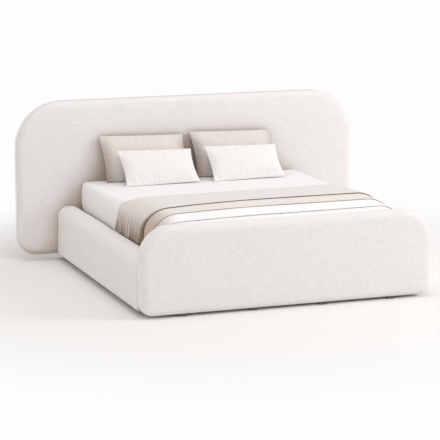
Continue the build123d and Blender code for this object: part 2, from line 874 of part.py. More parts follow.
def fold_block(x, inner, hem):
    """Round folds that stand out from x and slope back to it at their heads, filled in as far as inner."""
    top = skirt_top + overrun
    heads = [(inner, hem), (x - pleat_depth, hem), (x - pleat_depth, top - pleat_rise), (x, top)]
    with BuildPart() as block:
        with BuildSketch(Plane.XY.offset(hem)):
            for fold in range(pleat_count):
                near = throw_foot + fold * pleat_pitch
                ridge = [
                    (x - out * pleat_depth, near + along * pleat_pitch) for along, out in pleat_shares
                ]
                Polygon(*ridge, align=None)
            if inner > x:
                heads.append((inner, top))
                with Locations(((x + inner) / 2, (throw_head + throw_foot) / 2)):
                    Rectangle(inner - x, throw_head - throw_foot)
        extrude(amount=top - hem)
        with BuildSketch(Plane.XZ.offset(-throw_head)):
            Polygon(*heads, align=None)
        extrude(amount=throw_head - throw_foot, mode=Mode.INTERSECT)
    return block.part


with BuildPart() as left_skirt:
    add(fold_block(skirt_inner - fold_thickness, skirt_inner, throw_hem))
    add(fold_block(skirt_inner, skirt_inner, throw_hem - overrun), mode=Mode.SUBTRACT)

with BuildPart() as throw:
    add(layer(throw_line, throw_lift, throw_thickness, throw_head, throw_foot, skirt_top).part)
    add(left_skirt.part)
    mirror(left_skirt.part, about=Plane.YZ)


# Pillows
def lens(half_length, half_thickness):
    """A pillow's section: two crowned panels that meet at a narrow seam."""
    half_seam = pillow_seam / 2
    ThreePointArc((-half_length, half_seam), (0, half_thickness), (half_length, half_seam))
    Line((half_length, half_seam), (half_length, -half_seam))
    ThreePointArc((half_length, -half_seam), (0, -half_thickness), (-half_length, -half_seam))
    Line((-half_length, -half_seam), (-half_length, half_seam))


def pillow(width, height, thickness, lean, x, back):
    """A crowned pillow with drawn-in sides that stands on the sheet and leans back as far as a plane."""
    seam = Plane.XZ.rotated((-lean, 0, 0))
    corner_x = width / 2
    corner_z = height / 2
    draw = pillow_draw_share * height
    with BuildPart() as whole:
        with BuildSketch(seam):
            with BuildLine():
                ThreePointArc((-corner_x, -corner_z), (0, draw - corner_z), (corner_x, -corner_z))
                ThreePointArc((corner_x, -corner_z), (corner_x - draw, 0), (corner_x, corner_z))
                ThreePointArc((corner_x, corner_z), (0, corner_z - draw), (-corner_x, corner_z))
                ThreePointArc((-corner_x, corner_z), (draw - corner_x, 0), (-corner_x, -corner_z))
            make_face()
        extrude(amount=thickness, both=True)
        with BuildSketch(Plane((0, 0, 0), x_dir=seam.y_dir, z_dir=(1, 0, 0))):
            with BuildLine():
                lens(corner_z, thickness / 2)
            make_face()
        extrude(amount=width, both=True, mode=Mode.INTERSECT)
        with BuildSketch(Plane((0, 0, 0), x_dir=(1, 0, 0), z_dir=seam.y_dir)):
            with BuildLine():
                lens(corner_x, thickness / 2)
            make_face()
        extrude(amount=height, both=True, mode=Mode.INTERSECT)
    reach = whole.part.bounding_box()
    with BuildPart() as placed:
        with Locations((x, back - reach.max.Y, mattress_top + seat_gap - reach.min.Z)):
            add(whole.part)
    return placed


back_pillow = (back_pillow_width, back_pillow_height, back_pillow_thickness, back_pillow_lean)
front_pillow = (front_pillow_width, front_pillow_height, front_pillow_thickness, front_pillow_lean)
back_pillow_back = head_face - pillow_wall_gap
front_pillow_back = back_pillow_back - pillow_nest
left_back_pillow = pillow(*back_pillow, left_back_pillow_x, back_pillow_back)
right_back_pillow = pillow(*back_pillow, right_back_pillow_x, back_pillow_back)
left_front_pillow = pillow(*front_pillow, left_front_pillow_x, front_pillow_back)
right_front_pillow = pillow(*front_pillow, right_front_pillow_x, front_pillow_back)


pieces = {
    "headboard_cover": headboard_cover,
    "headboard_foam": headboard_foam,
    "headboard_panel": headboard_panel,
    "headboard_studs": headboard_studs,
    "headboard_lining": headboard_lining,
    "headboard_feet": headboard_feet,
    "footboard_cover": footboard_cover,
    "footboard_foam": footboard_foam,
    "footboard_panel": footboard_panel,
    "footboard_studs": footboard_studs,
    "footboard_inner_board": footboard_inner_board,
    "footboard_glides": footboard_glides,
    "left_rail_cover": left_rail_cover,
    "left_rail_foam": left_rail_foam,
    "left_rail_box": left_rail_box,
    "left_ledger": left_ledger,
    "right_rail_cover": mirrored(left_rail_cover),
    "right_rail_foam": mirrored(left_rail_foam),
    "right_rail_box": mirrored(left_rail_box),
    "right_ledger": mirrored(left_ledger),
    "corner_brackets": corner_brackets,
    "bracket_bolts": bracket_bolts,
    "centre_beam": centre_beam,
    "beam_hangers": beam_hangers,
    "centre_legs": centre_legs,
    "leg_glides": leg_glides,
    **slats,
    "left_base_ticking": left_base_ticking,
    "left_base_pad": left_base_pad,
    "left_base_dust_cloth": left_base_dust_cloth,
    "left_base_frame": left_base_frame,
    "left_base_springs": left_base_springs,
    "right_base_ticking": mirrored(left_base_ticking),
    "right_base_pad": mirrored(left_base_pad),
    "right_base_dust_cloth": mirrored(left_base_dust_cloth),
    "right_base_frame": mirrored(left_base_frame),
    "right_base_springs": mirrored(left_base_springs),
    "base_links": base_links,
    "fitted_sheet": fitted_sheet,
    "mattress_cover": mattress_cover,
    "mattress_lower_foam": mattress_lower_foam,
    "mattress_upper_foam": mattress_upper_foam,
    "mattress_side_foam": mattress_side_foam,
    "mattress_springs": mattress_springs,
    "duvet": duvet,
    "coverlet": coverlet,
    "blanket": blanket,
    "throw": throw,
    "left_back_pillow": left_back_pillow,
    "right_back_pillow": right_back_pillow,
    "left_front_pillow": left_front_pillow,
    "right_front_pillow": right_front_pillow,
}

os.makedirs("parts", exist_ok=True)
for label, piece in pieces.items():
    piece.part.label = label
    export_step(piece.part, f"parts/{label}.step")
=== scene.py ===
"""Box spring bed: soft goods, finishes, studio and camera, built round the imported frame.

Metres throughout, in the frame's own axes: X across the bed, Y towards the head, Z up from the floor.
"""

import logging
import math
from dataclasses import dataclass, replace
from enum import Enum
from functools import partial
from typing import Callable, Iterable, Iterator, Sequence

import bmesh
import bpy
from mathutils import Matrix, Vector, noise

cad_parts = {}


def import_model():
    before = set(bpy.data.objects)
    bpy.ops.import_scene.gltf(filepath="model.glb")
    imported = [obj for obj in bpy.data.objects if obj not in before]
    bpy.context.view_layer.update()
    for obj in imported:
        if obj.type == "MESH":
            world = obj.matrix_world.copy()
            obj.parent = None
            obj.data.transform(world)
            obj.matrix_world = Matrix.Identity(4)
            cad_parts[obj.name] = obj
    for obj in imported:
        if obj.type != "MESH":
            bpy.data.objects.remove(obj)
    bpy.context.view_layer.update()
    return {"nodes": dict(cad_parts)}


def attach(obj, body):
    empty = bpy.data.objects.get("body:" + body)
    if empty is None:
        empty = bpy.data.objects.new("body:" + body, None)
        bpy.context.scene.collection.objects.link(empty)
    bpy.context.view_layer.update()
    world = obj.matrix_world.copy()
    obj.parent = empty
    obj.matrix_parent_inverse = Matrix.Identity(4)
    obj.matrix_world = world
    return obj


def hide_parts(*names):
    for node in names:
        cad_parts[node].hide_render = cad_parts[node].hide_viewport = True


log = logging.getLogger("bed")

THREAD_MAP = "threads"
# Name of the attribute that holds each point's share of painted shade
PAINTED_SHADE_LAYER = "fold"

# Points closer than this are level, and the duvet's underside lies this far above the sheet
CLEAR = 0.0005
BED_WIDTH = 2.19
FOOTBOARD_BACK_ROLL = 0.03
MATTRESS_WIDTH = 1.8
MATTRESS_LENGTH = 2.0
MATTRESS_MIDDLE = 0.01
MATTRESS_TOP = 0.6166
MATTRESS_EDGE = 0.034
HEM = 0.3956

Colour = tuple[float, float, float, float]
Warp = Callable[[Vector], Vector]
Socket = bpy.types.NodeSocket
Materials = dict[str, bpy.types.Material]
ProfilePoint = tuple[float, Vector, Vector]
Halves = dict[int, list[ProfilePoint]]


def linear(code: str) -> Colour:
    """Turn an sRGB hex value into a linear colour.

    Args:
        code: Six hex digits.

    Returns:
        The colour with an alpha of one.
    """
    channels = [int(code[place : place + 2], 16) / 255 for place in (0, 2, 4)]
    red, green, blue = (c / 12.92 if c <= 0.04045 else ((c + 0.055) / 1.055) ** 2.4 for c in channels)
    return red, green, blue, 1.0


def add_node(
    tree: bpy.types.NodeTree, kind: str, settings: dict | None = None, links: dict | None = None
) -> bpy.types.Node:
    """Add a node with its settings and links.

    Args:
        tree: The node tree that takes it.
        kind: The node's type name.
        settings: Property or input socket to value; properties go first.
        links: Input socket to the output that feeds it.

    Returns:
        The new node.
    """
    node = tree.nodes.new(kind)
    sockets = {}
    for key, value in (settings or {}).items():
        if isinstance(key, int) or key in node.inputs:
            sockets[key] = value
        else:
            setattr(node, key, value)
    for key, value in sockets.items():
        node.inputs[key].default_value = value
    for key, source in (links or {}).items():
        tree.links.new(source, node.inputs[key])
    return node


def maths(tree: bpy.types.NodeTree, operation: str, first: Socket, second: Socket) -> Socket:
    """Join two values by an operation."""
    links = {0: first, 1: second}
    return add_node(tree, "ShaderNodeMath", {"operation": operation}, links).outputs["Value"]


def ranged(
    tree: bpy.types.NodeTree,
    value: Socket,
    source: tuple[float, float],
    target: tuple[float, float] = (0.0, 1.0),
    **more: str,
) -> Socket:
    """Carry a value from one range over to another.

    Args:
        tree: The node tree.
        value: The value.
        source: The range it comes from.
        target: The range it goes to.
        more: The node's other properties.

    Returns:
        The new value.
    """
    ends = {"From Min": source[0], "From Max": source[1], "To Min": target[0], "To Max": target[1]}
    return add_node(tree, "ShaderNodeMapRange", {**more, **ends}, {"Value": value}).outputs["Result"]


def smooth_step(low: float, high: float, value: float) -> float:
    """Ease from nought at low to one at high."""
    share = min(max((value - low) / (high - low), 0.0), 1.0)
    return share * share * (3 - 2 * share)


class Graph:
    """A material in the making, with the steps that the finishes share."""

    def __init__(self, name: str) -> None:
        """Start a material with its one shader.

        Args:
            name: The material's name.
        """
        self.material = bpy.data.materials.new(name)
        self.material.use_nodes = True
        self.tree = self.material.node_tree
        self.shader = self.tree.nodes["Principled BSDF"]

    def place(self) -> Socket:
        """The object's own coordinates."""
        return add_node(self.tree, "ShaderNodeTexCoord").outputs["Object"]

    def stretched(self, source: Socket, scale: Sequence[float]) -> Socket:
        """Scale coordinates by an amount of its own along each axis."""
        links = {"Vector": source}
        return add_node(self.tree, "ShaderNodeMapping", {"Scale": scale}, links).outputs["Vector"]

    def cloud(self, source: Socket, scale: float, detail: float, **more: float) -> Socket:
        """Add a noise at a number of cycles per metre."""
        settings = {"Scale": scale, "Detail": detail, **more}
        return add_node(self.tree, "ShaderNodeTexNoise", settings, {"Vector": source}).outputs["Fac"]

    def mixed(self, share: Socket, first: str | Socket, second: str) -> Socket:
        """Mix two colours.

        Args:
            share: How much of the second colour comes in.
            first: A hex value, or the colour so far.
            second: A hex value.

        Returns:
            The mixed colour.
        """
        settings = {"data_type": "RGBA", 7: linear(second)}
        links = {0: share}
        if isinstance(first, str):
            settings[6] = linear(first)
        else:
            links[6] = first
        return add_node(self.tree, "ShaderNodeMix", settings, links).outputs[2]

    def finished(
        self, colour: Socket, values: dict[str, float], bump: tuple[Socket, float, float] | None = None
    ) -> bpy.types.Material:
        """Feed the shader.

        Args:
            colour: The base colour.
            values: The shader's sockets to their constant values.
            bump: The height, its strength and its depth in metres.

        Returns:
            The material.
        """
        self.tree.links.new(colour, self.shader.inputs["Base Color"])
        for socket, value in values.items():
            self.shader.inputs[socket].default_value = value
        if bump:
            height, strength, depth = bump
            settings = {"Strength": strength, "Distance": depth}
            node = add_node(self.tree, "ShaderNodeBump", settings, {"Height": height})
            self.tree.links.new(node.outputs["Normal"], self.shader.inputs["Normal"])
        return self.material


class Coords(Enum):
    """Where a cloth's threads take their direction from."""

    OBJECT = "Object"
    THREADS = "UV"


@dataclass(frozen=True)
class WovenCloth:
    """A woven cloth: slubbed threads both ways, a soft mottle, a fine grain and a low sheen."""

    name: str
    face: str
    slub: str
    shade: str
    coords: Coords = Coords.OBJECT
    slub_length_mm: float = 38.0
    slub_width_mm: float = 5.0
    mottle_mm: float = 55.0
    grain_mm: float = 2.4
    slub_share: float = 0.5
    mottle_share: float = 0.25
    roughness: float = 0.9
    specular: float = 0.25
    sheen: float = 0.15
    sheen_roughness: float = 0.6
    bump_mm: float = 0.5
    bump_strength: float = 0.6
    # Colour of painted shade, mixed in by each point's painted shade share
    painted_shade_tone: str | None = None
    # Painted shade in nooks: a colour mixed in where ambient occlusion finds things within its reach,
    # up to its share
    painted_nook_shade_tone: str | None = None
    painted_nook_shade_reach: float = 0.2
    painted_nook_shade_share: float = 0.85

    def material(self) -> bpy.types.Material:
        """Build the cloth's material.

        Returns:
            The material.
        """
        graph = Graph(self.name)
        tree = graph.tree
        along = 1000 / self.slub_length_mm
        across = 1000 / self.slub_width_mm
        if self.coords is Coords.THREADS:
            source = add_node(tree, "ShaderNodeUVMap", {"uv_map": THREAD_MAP}).outputs["UV"]
            scales = ((along, across, 1.0), (across, along, 1.0))
        else:
            source = graph.place()
            scales = ((along, along, across), (across, across, along))
        weft, warp = [
            graph.cloud(graph.stretched(source, scale), 1.0, 2.0, Roughness=0.55) for scale in scales
        ]
        mottle = graph.cloud(source, 1000 / self.mottle_mm, 3.0, Roughness=0.6)
        grain = graph.cloud(source, 1000 / self.grain_mm, 1.0, Roughness=0.5)
        crossed = maths(tree, "MULTIPLY", weft, warp)
        slubbed = ranged(tree, crossed, (0.14, 0.42), (0.0, self.slub_share))
        colour = graph.mixed(slubbed, self.face, self.slub)
        clouded = ranged(tree, mottle, (0.35, 0.7), (0.0, self.mottle_share))
        colour = graph.mixed(clouded, colour, self.shade)
        # Painted shade in nooks, where ambient occlusion finds things close by
        if self.painted_nook_shade_tone:
            settings = {"samples": 6, "Distance": self.painted_nook_shade_reach}
            sky = add_node(tree, "ShaderNodeAmbientOcclusion", settings).outputs["AO"]
            painted_nook_shade = ranged(tree, sky, (0.85, 0.4), (0.0, self.painted_nook_shade_share))
            colour = graph.mixed(painted_nook_shade, colour, self.painted_nook_shade_tone)
        # Painted shade, by each point's share stored on the mesh
        if self.painted_shade_tone:
            fold = add_node(tree, "ShaderNodeAttribute", {"attribute_name": PAINTED_SHADE_LAYER}).outputs["Fac"]
            colour = graph.mixed(fold, colour, self.painted_shade_tone)
        values = {
            "Roughness": self.roughness,
            "Specular IOR Level": self.specular,
            "Sheen Weight": self.sheen,
            "Sheen Roughness": self.sheen_roughness,
        }
        height = maths(tree, "ADD", crossed, grain)
        return graph.finished(colour, values, (height, self.bump_strength, self.bump_mm / 1000))


@dataclass(frozen=True)
class SawnTimber:
    """Softwood or birch: growth bands drawn out along the piece, with a dry sawn face."""

    name: str
    light: str
    dark: str
    grain_axis: int = 0
    band_mm: float = 14.0
    stretch: float = 12.0
    roughness: float = 0.65

    def material(self) -> bpy.types.Material:
        """Build the timber's material.

        Returns:
            The material.
        """
        graph = Graph(self.name)
        scale = [1000 / self.band_mm] * 3
        scale[self.grain_axis] /= self.stretch
        source = graph.stretched(graph.place(), scale)
        bands = graph.cloud(source, 1.0, 4.0, Roughness=0.6, Distortion=0.8)
        colour = graph.mixed(ranged(graph.tree, bands, (0.35, 0.65)), self.light, self.dark)
        return graph.finished(colour, {"Roughness": self.roughness}, (bands, 0.35, 0.0006))


@dataclass(frozen=True)
class CoatedMetal:
    """Steel with a zinc or powder coat: fine mottle, and a roughness that varies a little."""

    name: str
    painted_shade: str
    second: str
    metallic: float
    roughness: float
    mottle_mm: float = 6.0

    def material(self) -> bpy.types.Material:
        """Build the metal's material.

        Returns:
            The material.
        """
        graph = Graph(self.name)
        mottle = graph.cloud(graph.place(), 1000 / self.mottle_mm, 3.0)
        rough = ranged(graph.tree, mottle, (0.0, 1.0), (self.roughness - 0.06, self.roughness + 0.08))
        graph.tree.links.new(rough, graph.shader.inputs["Roughness"])
        return graph.finished(graph.mixed(mottle, self.painted_shade, self.second), {"Metallic": self.metallic})


@dataclass(frozen=True)
class BondedFibre:
    """Bonded or spun fibre without a weave: cells or fibres that scatter the light."""

    name: str
    painted_shade: str
    second: str
    cell_mm: float
    roughness: float = 0.95

    def material(self) -> bpy.types.Material:
        """Build the fibre's material.

        Returns:
            The material.
        """
        graph = Graph(self.name)
        settings = {"Scale": 1000 / self.cell_mm}
        links = {"Vector": graph.place()}
        cells = add_node(graph.tree, "ShaderNodeTexVoronoi", settings, links).outputs["Distance"]
        colour = graph.mixed(cells, self.painted_shade, self.second)
        return graph.finished(colour, {"Roughness": self.roughness}, (cells, 0.4, 0.0008))


LINEN = WovenCloth(
    "linen_upholstery",
    "EAE6E4",
    "F1EEEC",
    "DDD6D2",
    slub_length_mm=55.0,
    slub_width_mm=8.0,
    slub_share=0.8,
    mottle_share=0.28,
    mottle_mm=30.0,
)
CORD = WovenCloth(
    "twisted_cord_brown", "6B5748", "7D6858", "574538", slub_length_mm=6.0, slub_width_mm=2.0
)

FINISHES: dict[str, WovenCloth | SawnTimber | CoatedMetal | BondedFibre] = {
    # Heavy cotton and linen upholstery: cream ground, slubs both ways, dry and matt
    "upholstery": LINEN,
    # The same linen on the headboard, with painted shade, browner, where ambient occlusion finds the
    # pillows and mattress standing close before it
    "headboard": replace(LINEN, name="linen_headboard_painted_shade", painted_nook_shade_tone="BBAA99"),
    # The same linen, doubled over a cord
    "piping": WovenCloth(
        "linen_piping", "E1DBD6", "EAE5E1", "D6CFC8", slub_length_mm=12.0, slub_width_mm=2.0
    ),
    # Cotton percale, close and smooth, with the faintest mottle
    "sheet": WovenCloth(
        "percale_sheet", "F1EFEE", "F5F4F3", "EAE8E7", mottle_mm=120.0, sheen=0.05, bump_mm=0.2
    ),
    # Washed cotton duvet and coverlet; the coverlet takes painted shade where it hangs
    "duvet": WovenCloth(
        "washed_cotton_white",
        "F5F3F2",
        "F9F8F7",
        "EEEBE9",
        coords=Coords.THREADS,
        mottle_mm=90.0,
        sheen=0.05,
        bump_mm=0.3,
        painted_shade_tone="C6BFB9",
    ),
    # Brushed cotton blanket: pale on the bed, with painted shade, warmer and darker, where it hangs
    "blanket": WovenCloth(
        "brushed_cotton_blush",
        "E6DFD9",
        "ECE6E1",
        "DACFC6",
        coords=Coords.THREADS,
        slub_length_mm=60.0,
        slub_width_mm=8.0,
        painted_shade_tone="BFAD9D",
    ),
    # Washed linen throw: greige, its hanging ends and the valleys of its folds darker by painted shade,
    # with a painted shadow along its foot edge where it hangs
    "throw": WovenCloth(
        "washed_linen_greige",
        "E3DDD8",
        "EBE6E2",
        "D4CAC1",
        coords=Coords.THREADS,
        slub_length_mm=70.0,
        slub_width_mm=7.0,
        bump_mm=0.8,
        painted_shade_tone="8A6F58",
    ),
    # Twisted cord sewn into the throw's foot edge
    "cord": CORD,
    # A finer cord on the blanket's edge, and a plain one on the coverlet's
    "fine_cord": replace(CORD, name="fine_cord_taupe", face="A08C7B", slub="B09D8D", shade="8C7968"),
    "plain_cord": replace(CORD, name="plain_cord_grey", face="BDB8B4", slub="CBC6C2", shade="ADA7A2"),
    # Linen cushion covers, beige behind and white in front; the beige ones take painted shade at their
    # ends
    "beige_cover": WovenCloth(
        "linen_cushion_beige",
        "DFD7D0",
        "E6DFD9",
        "D5CBC2",
        slub_length_mm=45.0,
        mottle_mm=80.0,
        sheen=0.1,
        painted_shade_tone="8F7A66",
    ),
    "white_cover": WovenCloth(
        "linen_cushion_white", "EEEBE9", "F4F2F1", "E3DEDB", mottle_mm=90.0, sheen=0.05, bump_mm=0.3
    ),
    # Cotton and polyester ticking, tight and pale
    "ticking": WovenCloth("cotton_ticking", "E2DED7", "EDEAE5", "D3CDC4", slub_width_mm=3.0),
    # Spunbonded lining, black and dull
    "lining": BondedFibre("spunbonded_lining", "3A3A3B", "2B2B2C", 3.0),
    # Heat-welded fabric round pocketed springs
    "pockets": BondedFibre("pocket_fabric", "E4E3E0", "D2D1CE", 4.0),
    # Birch plywood, lightly figured
    "plywood": SawnTimber("birch_plywood", "DCC39A", "C9AB7E", band_mm=22.0),
    # Planed spruce: rails along the bed, studs upright
    "timber": SawnTimber("planed_spruce", "DFC594", "C6A26B", grain_axis=1),
    "studs": SawnTimber("planed_spruce_upright", "DFC594", "C6A26B", grain_axis=2),
    # Laminated beech slats, grain across the bed
    "slats": SawnTimber("laminated_beech", "DDBB8E", "C99F6C", band_mm=8.0, stretch=20.0),
    # Zinc-plated pressed steel and bolts
    "zinc": CoatedMetal("zinc_plated_steel", "B9BBBD", "A2A4A7", 0.9, 0.38),
    "bolts": CoatedMetal("zinc_plated_bolt", "A9ABAE", "8F9194", 0.9, 0.32, mottle_mm=3.0),
    # Black powder coat over steel tube
    "powder": CoatedMetal("black_powder_coat", "232324", "1B1B1C", 0.0, 0.5, mottle_mm=1.5),
    # Moulded polypropylene
    "plastic": CoatedMetal("moulded_polypropylene", "65615D", "5A5653", 0.0, 0.42, mottle_mm=2.0),
}

# The frame's own hard and hidden parts that show, by their finish
CARCASS = {
    "plywood": "headboard_panel footboard_panel footboard_inner_board",
    "studs": "headboard_studs footboard_studs",
    "timber": "left_rail_box right_rail_box left_ledger right_ledger left_base_frame right_base_frame",
    "slats": "slat_1 slat_2 slat_3 slat_4 slat_5 slat_6 slat_7",
    "lining": "headboard_lining left_base_dust_cloth right_base_dust_cloth",
    "plastic": "headboard_feet footboard_glides leg_glides",
    "zinc": "corner_brackets beam_hangers base_links",
    "bolts": "bracket_bolts",
    "powder": "centre_beam centre_legs",
    "pockets": "left_base_springs right_base_springs mattress_springs",
}


def make_materials() -> Materials:
    """Build every finish once, by its use on the bed."""
    return {use: finish.material() for use, finish in FINISHES.items()}


def dress_carcass(nodes: dict[str, bpy.types.Object], materials: Materials) -> None:
    """Give the frame's own parts that show their finishes.

    Args:
        nodes: The frame's parts by name.
        materials: The bed's finishes.
    """
    for use, names in CARCASS.items():
        for name in names.split():
            nodes[name].data.materials.clear()
            nodes[name].data.materials.append(materials[use])


def linked(name: str, mesh: bpy.types.Mesh, material: bpy.types.Material) -> bpy.types.Object:
    """Stand a mesh in the scene at the origin, smooth-shaded.

    Args:
        name: The piece's name.
        mesh: Its mesh.
        material: Its finish.

    Returns:
        The new object.
    """
    mesh.materials.clear()
    mesh.materials.append(material)
    mesh.shade_smooth()
    piece = bpy.data.objects.new(name, mesh)
    bpy.context.scene.collection.objects.link(piece)
    return piece


def new_piece(name: str, bm: bmesh.types.BMesh, material: bpy.types.Material) -> bpy.types.Object:
    """Turn a bmesh into a piece.

    Args:
        name: The piece's name.
        bm: Its shape, freed here.
        material: Its finish.

    Returns:
        The new object.
    """
    mesh = bpy.data.meshes.new(name)
    bm.to_mesh(mesh)
    bm.free()
    return linked(name, mesh, material)


def baked(piece: bpy.types.Object) -> bpy.types.Object:
    """Apply every modifier of a piece to its mesh.

    Args:
        piece: The piece with its modifiers.

    Returns:
        The same piece, with a plain mesh.
    """
    bpy.context.view_layer.update()
    graph = bpy.context.evaluated_depsgraph_get()
    mesh = bpy.data.meshes.new_from_object(piece.evaluated_get(graph), depsgraph=graph)
    old = piece.data
    piece.modifiers.clear()
    piece.data = mesh
    bpy.data.meshes.remove(old)
    mesh.shade_smooth()
    return piece


def smoothed(piece: bpy.types.Object, passes: int) -> bpy.types.Object:
    """Even a piece's skin out.

    Args:
        piece: The piece.
        passes: How often.

    Returns:
        The same piece, with a plain mesh.
    """
    relax = piece.modifiers.new("relaxed", "SMOOTH")
    relax.factor = 0.5
    relax.iterations = passes
    return baked(piece)


def remeshed(piece: bpy.types.Object, voxel: float, passes: int) -> bpy.types.Object:
    """Give a piece an even skin of small faces, then relax it.

    Args:
        piece: A closed piece.
        voxel: The new faces' size.
        passes: How often the skin is relaxed.

    Returns:
        The same piece.
    """
    remesh = piece.modifiers.new("even_skin", "REMESH")
    remesh.mode = "VOXEL"
    remesh.voxel_size = voxel
    remesh.use_smooth_shade = True
    return smoothed(piece, passes)


def thickened(piece: bpy.types.Object, thickness: float) -> bpy.types.Object:
    """Give a skin its thickness, inwards.

    Args:
        piece: The skin.
        thickness: How thick it gets.

    Returns:
        The same piece.
    """
    solid = piece.modifiers.new("thickness", "SOLIDIFY")
    solid.thickness = thickness
    solid.offset = -1.0
    return baked(piece)


def warped(piece: bpy.types.Object, warp: Warp) -> bpy.types.Object:
    """Move every point of a piece by a function of its place.

    Args:
        piece: The piece.
        warp: Takes a place and gives the new one.

    Returns:
        The same piece.
    """
    for vertex in piece.data.vertices:
        vertex.co = warp(vertex.co.copy())
    piece.data.update()
    return piece


def undulation(place: Vector, size: float, seed: float) -> float:
    """A soft wave between minus one and one that repeats nowhere."""
    return noise.noise(place / size + Vector((seed, 2.3 * seed, -seed)))


def block(centre: Sequence[float], size: Sequence[float]) -> bmesh.types.BMesh:
    """Draw a box.

    Args:
        centre: Its middle.
        size: Its three sides.

    Returns:
        The box.
    """
    bm = bmesh.new()
    place = Matrix.Translation(centre) @ Matrix.Diagonal((*size, 1.0))
    bmesh.ops.create_cube(bm, size=1.0, matrix=place)
    return bm


def rounded(
    bm: bmesh.types.BMesh, parts: list, radius: float, steps: int, affect: str = "EDGES"
) -> None:
    """Round edges, or the corners of a face.

    Args:
        bm: The shape.
        parts: The edges or points.
        radius: The radius.
        steps: The faces round it.
        affect: EDGES or VERTICES.
    """
    bmesh.ops.bevel(
        bm,
        geom=parts,
        offset=radius,
        offset_type="OFFSET",
        segments=steps,
        profile=0.5,
        affect=affect,
        material=-1,
    )


def doubled(bm: bmesh.types.BMesh, faces: Iterable[bmesh.types.BMFace]) -> list[bmesh.types.BMVert]:
    """Extrude faces on the spot, and give the new points."""
    made = bmesh.ops.extrude_face_region(bm, geom=list(faces))
    return [part for part in made["geom"] if isinstance(part, bmesh.types.BMVert)]


def is_level(edge: bmesh.types.BMEdge, axis: int, value: float) -> bool:
    """Whether both ends of an edge lie at a value along an axis."""
    return all(abs(vertex.co[axis] - value) < CLEAR for vertex in edge.verts)


def upright_edges(bm: bmesh.types.BMesh) -> list[bmesh.types.BMEdge]:
    """The edges that stand upright."""
    return [edge for edge in bm.edges if abs(edge.verts[0].co.z - edge.verts[1].co.z) > 0.05]


def arc(
    across: float, height: float, radius: float, start: float, steps: int
) -> list[tuple[float, float]]:
    """Walk a quarter of a circle.

    Args:
        across: The circle's middle, across.
        height: The circle's middle, upwards.
        radius: Its radius.
        start: The angle it starts at, in degrees.
        steps: The number of steps.

    Returns:
        The points as pairs of place and height.
    """
    angles = [math.radians(start + 90 * step / steps) for step in range(steps + 1)]
    return [(across + radius * math.cos(angle), height + radius * math.sin(angle)) for angle in angles]


def corded(
    name: str, line: Sequence[Vector], radius: float, material: bpy.types.Material, closed: bool
) -> bpy.types.Object:
    """Lay a sewn-in cord along a line.

    Args:
        name: The cord's name.
        line: The points it runs through.
        radius: Its own radius.
        material: Its finish.
        closed: Whether it meets itself.

    Returns:
        The cord as a mesh piece.
    """
    curve = bpy.data.curves.new(name, "CURVE")
    curve.dimensions = "3D"
    curve.bevel_depth = radius
    curve.bevel_resolution = 2
    curve.use_fill_caps = True
    spline = curve.splines.new("POLY")
    spline.points.add(len(line) - 1)
    for point, place in zip(spline.points, line):
        point.co = (*place, 1.0)
    spline.use_cyclic_u = closed
    holder = bpy.data.objects.new(name, curve)
    bpy.context.scene.collection.objects.link(holder)
    bpy.context.view_layer.update()
    mesh = bpy.data.meshes.new_from_object(holder)
    bpy.data.objects.remove(holder)
    bpy.data.curves.remove(curve)
    return linked(name, mesh, material)


